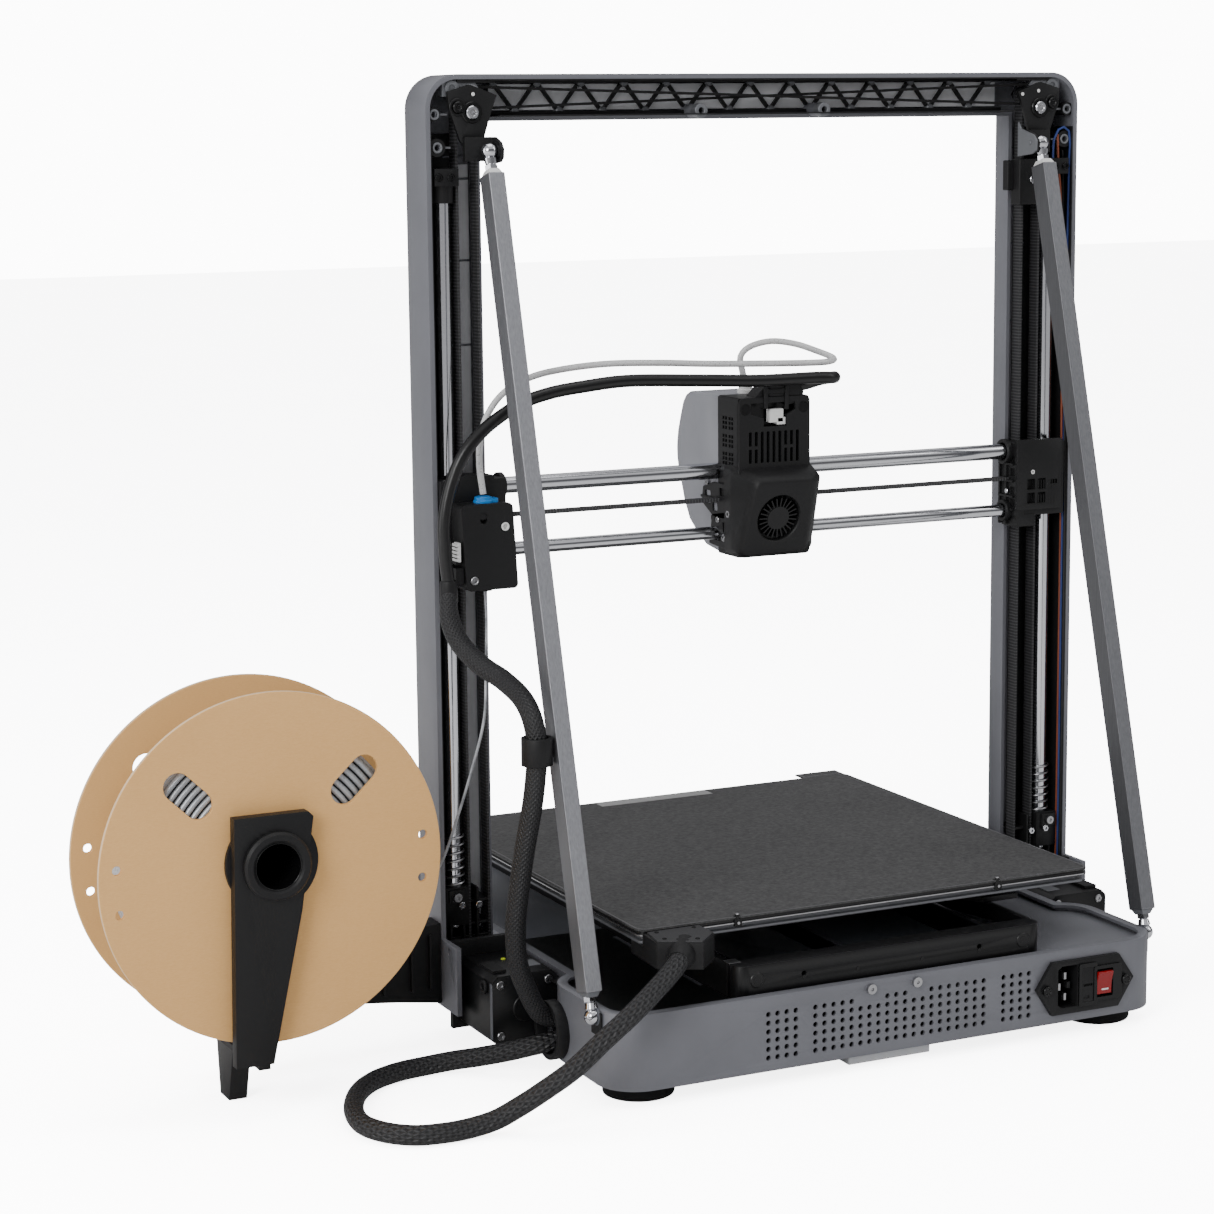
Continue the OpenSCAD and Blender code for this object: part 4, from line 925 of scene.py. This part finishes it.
def sensor_box():
    out = [(x + 0.059 * (z - 331), z) for x, z in rect(183, 280, 216, 331, 3, 5)]
    p = Part()
    slab(p, "y", [out, arc(188, 317, 2.6, 0, 360, 24), arc(208, 286, 2.6, 0, 360, 24),
                  rect(199.4, 319.5, 203.8, 326, 1.9, 5)], 55.5, 60)
    slab(p, "y", [out], 43, 55.6)
    p.box((199.2, 57, 322), (204, 59.4, 331))
    p.box((214, 45, 284), (219, 58, 294))
    p.box((215.5, 46, 296), (218.5, 57, 307))
    p.lathe("z", (198, 51), [(2.3, 278.6), (4.6, 278.6), (4.6, 281), (2.3, 281)], 24, closed=True)
    ob = p.done("sensor_case", "black", "crossbar", replaces=("filament_sensor",))
    soften(ob, 0.7, 2)
    Part().disc("y", (201.6, 322.6), 1.8, 55.4, 58.2, 20, 0.4).done("sensor_lens", "black_gloss", "crossbar")
    for x, z, name in ((188, 317, "upper"), (208, 286, "lower")):
        p = Part().ring("y", (x, z), 1.45, 2.55, 55.6, 60.6, 28, 0.35)
        p.disc("y", (x, z), 1.5, 55.6, 58.6, 6)
        p.done("sensor_screw_" + name, "white" if name == "upper" else "steel", "crossbar")
    p = Part()
    p.lathe("z", (198, 51), [(2.05, 330.8), (6, 330.8), (6, 332.2), (5.2, 332.8), (5.2, 334.2),
                             (3.4, 334.8), (2.05, 334.8)], 32, closed=True)
    slab(p, "z", [rect(189.6, 47, 198, 55, 1.5, 4)], 330.8, 333.4)
    p.done("sensor_fitting", "blue", "crossbar", 0.25)
    p = Part()
    for i in range(5):
        p.box((217, 52, 298 + 2.2 * i), (218.8, 59, 299.6 + 2.2 * i))
    p.box((215.8, 52, 297.6), (217.6, 58.6, 309))
    p.done("sensor_plug", "white", "crossbar", 0.3)
    # shrink sleeve where the hose enters the woven sleeve
    p = Part()
    p.lathe("z", (225, 61), [(3.9, 274), (4.9, 274), (5.3, 275.5), (5.3, 286), (4.8, 287.6), (3.9, 288)], 32,
            closed=True)
    p.done("hose_collar", "black", "crossbar")


sensor_box()


# ---- wires in the right leg
WIRE_TOPS = {
    "orange": [(-212, 36, 540), (-213, 36, 520), (-215, 36, 500), (-219.6, 33, 440), (-220.2, 33, 380)],
    "blue": [(-208, 37, 470), (-208, 37, 520), (-208.6, 37, 537), (-212, 37, 543), (-216, 37, 544.6),
             (-220, 37, 542), (-221, 37, 534), (-221, 36, 500)],
    "black": [(-218, 33, 530), (-219, 33, 500)],
}


def leg_wires():
    colors = (srgb(140, 70, 44), srgb(46, 66, 128), srgb(18, 18, 20))
    for i, (name, c) in enumerate(zip(WIRE_TOPS, colors)):
        M["wire_" + name] = grained("wire_" + name, c, 0.4, 0.1, 700, 0.05)
        y = 33 + 2.2 * i
        route = WIRE_TOPS[name] + [(-220.8, y, 300), (-220.8, y, 64), (-219, y, 53), (-212, y, 46),
                                   (-198, y, 44.5 - 1.1 * i), (-184.4, y, 44 - 2.2 * i)]
        Part().tube(curve_points(route, 5), 0.75, 10).done("leg_wire_" + name, "wire_" + name, "frame",
                                                           replaces=("ribbon_wires",))


leg_wires()


# ---- bed
def bed_details():
    inner = rect(-153.6, -132.6, 153.6, 165.1, 5.2, 8)
    Part().box((-43, -133.2, 93.9), (41, -121, 94.25)).done("bed_label", "label", "bed", 0.1)
    slab(Part(), "z", [rect(-154.8, -133.8, 154.8, 166.2, 6, 8), inner], 93.4, 94.12).done(
        "bed_edge", "edge", "bed")
    p = Part()
    slab(p, "z", [rect(-153.6, -145.4, -122.4, -134.6), rect(-151.8, -143.6, -124.2, -136)], 93.5, 94.2)
    p.done("bed_tab_edge", "steel", "bed")
    for x in (-88, 91):
        p = Part().box((x - 1.9, 163.6, 94.02), (x + 1.9, 166.4, 94.4))
        p.box((x - 2.4, 165.2, 88.6), (x + 2.4, 167.4, 93))
        p.done("bed_pin_base_%s" % ("a" if x < 0 else "b"), "black", "bed", 0.2)
        p = Part().disc("z", (x, 165.6), 1.25, 93.8, 96, 16, 0.4)
        p.disc("y", (x, 90.6), 0.9, 167.2, 167.9, 12)
        p.done("bed_pin_%s" % ("a" if x < 0 else "b"), "steel", "bed")
    slab(Part(), "z", [rect(-155.1, -134.1, 155.1, 166.6, 6, 8), inner], 90.1, 90.8).done(
        "bed_line", "steel", "bed")
    # clamp cover of the cable, its screws and the nut
    p = Part()
    slab(p, "z", [[(116.8, 167.3), (150.5, 167.3), (153.4, 186.6), (131, 199.2), (116.6, 184.6)]], 91.8, 92.9)
    p.done("gland_top", "gland", "bed", 0.4)
    p = Part()
    for x, y in ((122, 171), (146, 171), (131, 193), (148, 185)):
        p.screw("z", (x, y), 92.8, 1.3, 0.5)
    p.done("gland_screws", "black_gloss", "bed")
    a, b = Vector((134, 184, 87.2)), Vector((147.5, 200, 82.8))
    d = (b - a).normalized()
    pts = [a + d * t for t in (0, 6, 6.5, 13, 16, 20.6)]
    Part().tube(pts, 8, 28, [7, 7.4, 8.2, 8.2, 7.6, 6.4]).done("gland_nut", "black", "bed", angle=50)
    # knobs under the plate
    p = Part()
    for x in (-107, 107):
        p.disc("z", (x, 132), 7.2, 78, 84.6, 32, 0.8)
    p.done("bed_knobs", "black", "bed")


bed_details()


# ---- base and Y frame
INLET_X = -128


def base_details():
    # black discs in the Y frame's rod and end holes: painted shade, standing in for the dark inside of the
    # holes
    p = Part()
    for x in (-91, 91):
        p.disc("y", (x, 62), 4.5, 188.4, 190.4, 32, 0.4)
    p.done("rod_hole_shade_caps", "black_metal")
    p = Part()
    for x in (-91, 91):
        p.disc("y", (x, 62), 2.5, 190, 190.5, 24)
    for x in (-60, 60, -20, 24):
        p.disc("y", (x, 60), 1.2, 189.6, 190.3, 12)
    p.done("y_frame_hole_shade_discs", "black_gloss")
    Part().box((96, 172, 70.9), (104, 180, 71.1)).done("y_frame_mark", "steel", "frame", 0.15)
    # black sheet over the tray's deck, painted shade for the shadow under the bed; open over the middle of
    # the deck
    p = Part()
    slab(p, "z", [[(-96, 12), (181, 12), (181, 176), (163, 194), (-96, 194)], rect(-94, 30, 108, 150)],
         50.05, 50.6)
    slab(p, "z", [rect(-98, -194, 98, 11, 2, 3)], 50.05, 50.6)
    p.done("tray_well", "well")
    # inlet: pins, screws, frames round the fuse drawer and the rocker
    p = Part()
    for x, z in ((-114, 39.5), (-109.9, 33), (-114, 26.5)):
        p.box((x - 0.9, 196, z - 2.2), (x + 0.9, 201.6, z + 2.2))
    p.done("inlet_pins", "steel", "frame", 0.3)
    p = Part()
    for x in (INLET_X - 28.5, INLET_X + 28.5):
        p.ring("y", (x, 32.5), 1.5, 3.1, 203, 205.7, 28, 0.5)
        p.disc("y", (x, 32.5), 1.6, 203, 205.2, 6)
    slab(p, "y", [rect(-135.6, 19.5, -122.6, 46, 1, 3), rect(-133.4, 22, -124.8, 43.5, 0.6, 3)], 202.9, 204.2)
    p.box((-133, 203, 31.6), (-125.2, 204, 33.4))
    slab(p, "y", [rect(-153.4, 21.6, -133.2, 43.4, 1.5, 4), rect(-147, 23.8, -134.9, 41.2, 0.8, 3)],
         202.9, 204.4)
    p.done("inlet_trim", "black_gloss", "frame", 0.3)
    p = Part()
    p.prism("x", [(194, 28), (194, 37), (204.5, 39.8), (206.4, 39.6), (204.3, 32.5), (204, 25.2),
                  (201.5, 25)], -146.4, -135.5)
    p.done("rocker_skin", "red", "power_rocker", 0.7, replaces=("rocker_switch",))
    Part().box((-143.4, 204, 28), (-138.8, 204.9, 28.9)).done("rocker_mark", "white", "power_rocker", 0.1)
    # smooth floor of the tray beside the bed frame
    p = Part()
    slab(p, "z", [[(-96, 14), (-170, 14), (-170, 40), (-184, 60), (-184, 180), (-168, 196.6), (-96, 196.6)]],
         50.05, 50.7)
    p.done("tray_floor", "paint")
    # underside tab
    Part().box((-24.4, 150, 2.6), (31.4, 192.6, 11.4)).done("tab_skin", "tab", "frame", 0.8)
    # rings round the lower ball seats, and ribs on the feet
    p = Part()
    for s in (-1, 1):
        p.ring("x", (177, 51), 2.6, 5.6, *sorted((s * 187, s * 188.2)), 28, 0.4)
    p.done("brace_seats", "paint_dark")
    p = Part()
    for x in (-158, 158):
        for y in (-170, 170):
            for z in (2.6, 5.4, 8.2):
                p.ring("z", (x, y), 17.6, 18.3, z, z + 1.1, 48, 0.3)
    p.done("feet_ridges", "rubber")


base_details()


# ---- lift motors
def motor_details():
    for s, side in SIDES:
        x = s * 196
        p = Part()
        for dx in (-15.5, 15.5):
            for dz in (-15.5, 15.5):
                p.screw("y", (x + dx, 35 + dz), 95.6, 2.6, 1.2)
        p.done("motor_screws_" + side, "steel")
        p = Part()
        edge = [(x + s * 17.7, 56.1), (x + s * 21.1, 52.7), (x + s * 21.1, 51), (x + s * 16, 56.1)]
        p.prism("y", edge[::s], 84, 96.3)
        p.disc("y", (x, 35), 8, 95.5, 97, 32, 0.5)
        p.done("motor_end_" + side, "black_metal", "frame", 0.5)
        Part().side_box(s, (216.6, 93.2, 18), (217.3, 96.2, 52)).done(
            "motor_corner_" + side, "paint_dark", "frame", 0.4)
        p = Part().ring("x", (86, 48), 2.2, 4.2, *sorted((s * 217, s * 219)), 28, 0.4)
        p.side_box(s, (205, 70, 56), (214, 90, 58))
        p.done("motor_boss_" + side, "black", "frame", 0.3)
        Part().disc("z", (s * 195.3, 63), 1.5, 55.8, 56.5, 16, 0.2).done("motor_dot_" + side, "lime")
        Part().side_box(s, (180, 72, 55.9), (190, 84, 56.4)).done(
            "motor_plate_" + side, "plate_grey", "frame", 0.2)


motor_details()


# ---- lower belt and clamp area of the legs
def leg_lower():
    for s, side in SIDES:
        p = Part()
        for x in (197.5, 206.5, 215):
            p.side_box(s, (x, 12, 60), (x + 1.6, 33, 94))
        for z in (62, 70, 84):
            p.side_box(s, (189, 12, z), (221, 30, z + 1.6))
        p.side_box(s, (188, 33, 55), (222, 36.5, 63))
        p.done("leg_foot_ribs_" + side, "black", "frame", 0.4)
        p = Part()
        for x, z in ((199, 84), (210, 84.5)):
            p.screw("y", (s * x, z), 36, 2.2, 1.5)
        p.done("leg_foot_screws_" + side, "chrome")


leg_lower()


# ---- spool and its holder
SX, SZ = 355.5, 143
HUB = (357.5, 147.5)


def spool_skin():
    def around(points, a):
        c, s = cos(radians(a)), sin(radians(a))
        return [(SX + u * c - v * s, SZ + u * s + v * c) for u, v in points]

    loops = [arc(SX, SZ, 100, 0, 360, 160), arc(SX, SZ, 23.6, 0, 360, 64)]
    stadium = arc(75, 0, 8, -90, 90, 12) + arc(58.5, 0, 8, 90, 270, 12)
    loops += [around(stadium, a) for a in (44, 137)]
    loops += [around(arc(90, 0, 2.6, 0, 360, 20), a) for a in (6, -10, 174, 190)]
    for name, y0 in (("near", 112), ("far", 55)):
        ob = slab(Part(), "y", loops, y0, y0 + 3).done(
            "spool_disc_" + name, "card", "spool_reel", replaces=("spool",), angle=30)
        soften(ob, 0.35, 2)
        Part().ring("y", (SX, SZ), 98.9, 100.15, y0 + 0.25, y0 + 2.75, 160, 0.2).done(
            "spool_rim_" + name, "card_rim", "spool_reel", angle=60)
    Part().ring("y", (SX, SZ), 23.6, 29, 58, 112, 72).done(
        "spool_core", "card", "spool_reel", replaces=("spool",))
    # wound filament: coils show as ridges on both flanks and over the outside
    flank = [(4.2 * i / 6, 2.1 * sin(pi * (i % 6) / 6)) for i in range(66)]
    outside = [(79 + 0.9 * sin(pi * (i % 5) / 5), 60 + 2 * i / 5) for i in range(125)]
    prof = ([(29.2, 58.2)] + [(32 + u, 60.4 - v) for u, v in flank] + outside
            + [(78.2 - u, 109.6 + v) for u, v in flank] + [(29.2, 111.8)])
    Part().lathe("y", (SX, SZ), prof, 120, closed=True).done(
        "filament_coils", "coil", "spool_reel", replaces=("filament_winding",), angle=75)


spool_skin()


def holder_details():
    Part().ring("y", HUB, 13.6, 19.6, 125, 130.2, 64, 1.4).done("hub_lip", "black")
    Part().ring("y", HUB, 12.9, 13.55, 60, 129.4, 64, 0.2).done("hub_lining", "black_gloss")
    Part().disc("y", HUB, 13, 60, 61, 48).done("hub_end", "black_gloss")
    p = Part()
    for x in (232, 244, 262, 282, 304, 330):
        p.box((x, 38, 36), (x + 1.6, 41, 70 if x < 250 else 72 - 26 * (x - 250) / 80))
    p.done("arm_ribs", "black", "frame", 0.3)


holder_details()


# ---- stage and light
def make_floor():
    """White floor: what the camera sees of it is lifted, what it throws back on the object is not."""
    me = bpy.data.meshes.new("floor")
    me.from_pydata([(-9, -9, 0), (9, -9, 0), (9, 9, 0), (-9, 9, 0)], [], [(0, 1, 2, 3)])
    floor = bpy.data.objects.new("floor", me)
    scene.collection.objects.link(floor)
    n = Nodes("floor_white")
    seen = n.add("LightPath").outputs["Is Camera Ray"]
    lift = n.mix((0.8, 0.8, 0.8, 1), (6.5, 6.5, 6.55, 1), seen)
    drift = n.ramp(n.noise(3, 1), (0.97, 0.97, 0.97, 1), (1, 1, 1, 1))
    soft, glow, both = n.add("BsdfDiffuse"), n.add("Emission"), n.add("AddShader")
    n.link(n.mix(lift, drift, 1, "MULTIPLY"), soft.inputs["Color"])
    n.link(n.math("MULTIPLY", seen, 4.5), glow.inputs["Strength"])
    n.link(soft.outputs["BSDF"], both.inputs[0])
    n.link(glow.outputs["Emission"], both.inputs[1])
    n.link(both.outputs["Shader"], n.tree.nodes["Material Output"].inputs["Surface"])
    me.materials.append(n.mat)


def make_studio():
    """Even light all round; glossy surfaces see bright bands overhead and near the floor."""
    world = bpy.data.worlds.new("studio")
    scene.world = world
    world.use_nodes = True
    n = Nodes(tree=world.node_tree)
    path = n.add("LightPath").outputs
    height = n.add("MapRange")
    height.inputs["From Min"].default_value = -1
    n.link(n.split(n.coord.outputs["Generated"])["Z"], height.inputs["Value"])
    bands = n.add("ValToRGB")
    stops = ((0.0, 0.85), (0.47, 0.5), (0.53, 0.16), (0.68, 0.12), (0.8, 0.75), (1.0, 0.5))
    el = bands.color_ramp.elements
    while len(el) < len(stops):
        el.new(0.5)
    for e, (at, v) in zip(el, stops):
        e.position, e.color = at, (v, v, v * 1.02, 1)
    n.link(height.outputs["Result"], bands.inputs["Fac"])
    room = n.mix((0.62, 0.62, 0.63, 1), bands.outputs["Color"], path["Is Glossy Ray"])
    n.link(n.mix(room, (12, 12, 12, 1), path["Is Camera Ray"]), n.tree.nodes["Background"].inputs["Color"])


def area(name, at, to, size, power):
    light = bpy.data.lights.new(name, "AREA")
    light.shape = "RECTANGLE"
    light.size, light.size_y = size
    light.energy = power
    ob = bpy.data.objects.new(name, light)
    ob.location = at
    ob.rotation_euler = (Vector(to) - Vector(at)).to_track_quat("-Z", "Y").to_euler()
    scene.collection.objects.link(ob)


make_floor()
make_studio()
area("key", (2.1, 1.5, 1.3), (0.1, 0, 0.25), (1.0, 1.2), 34)
area("side", (2.4, -0.3, 0.8), (0.2, 0, 0.3), (1.2, 1.6), 15)
area("rim", (-1.8, 1.2, 1.6), (0, 0, 0.3), (0.6, 1.6), 7)
area("top", (0, 0.1, 2.4), (0, 0, 0), (1.6, 1.6), 13)
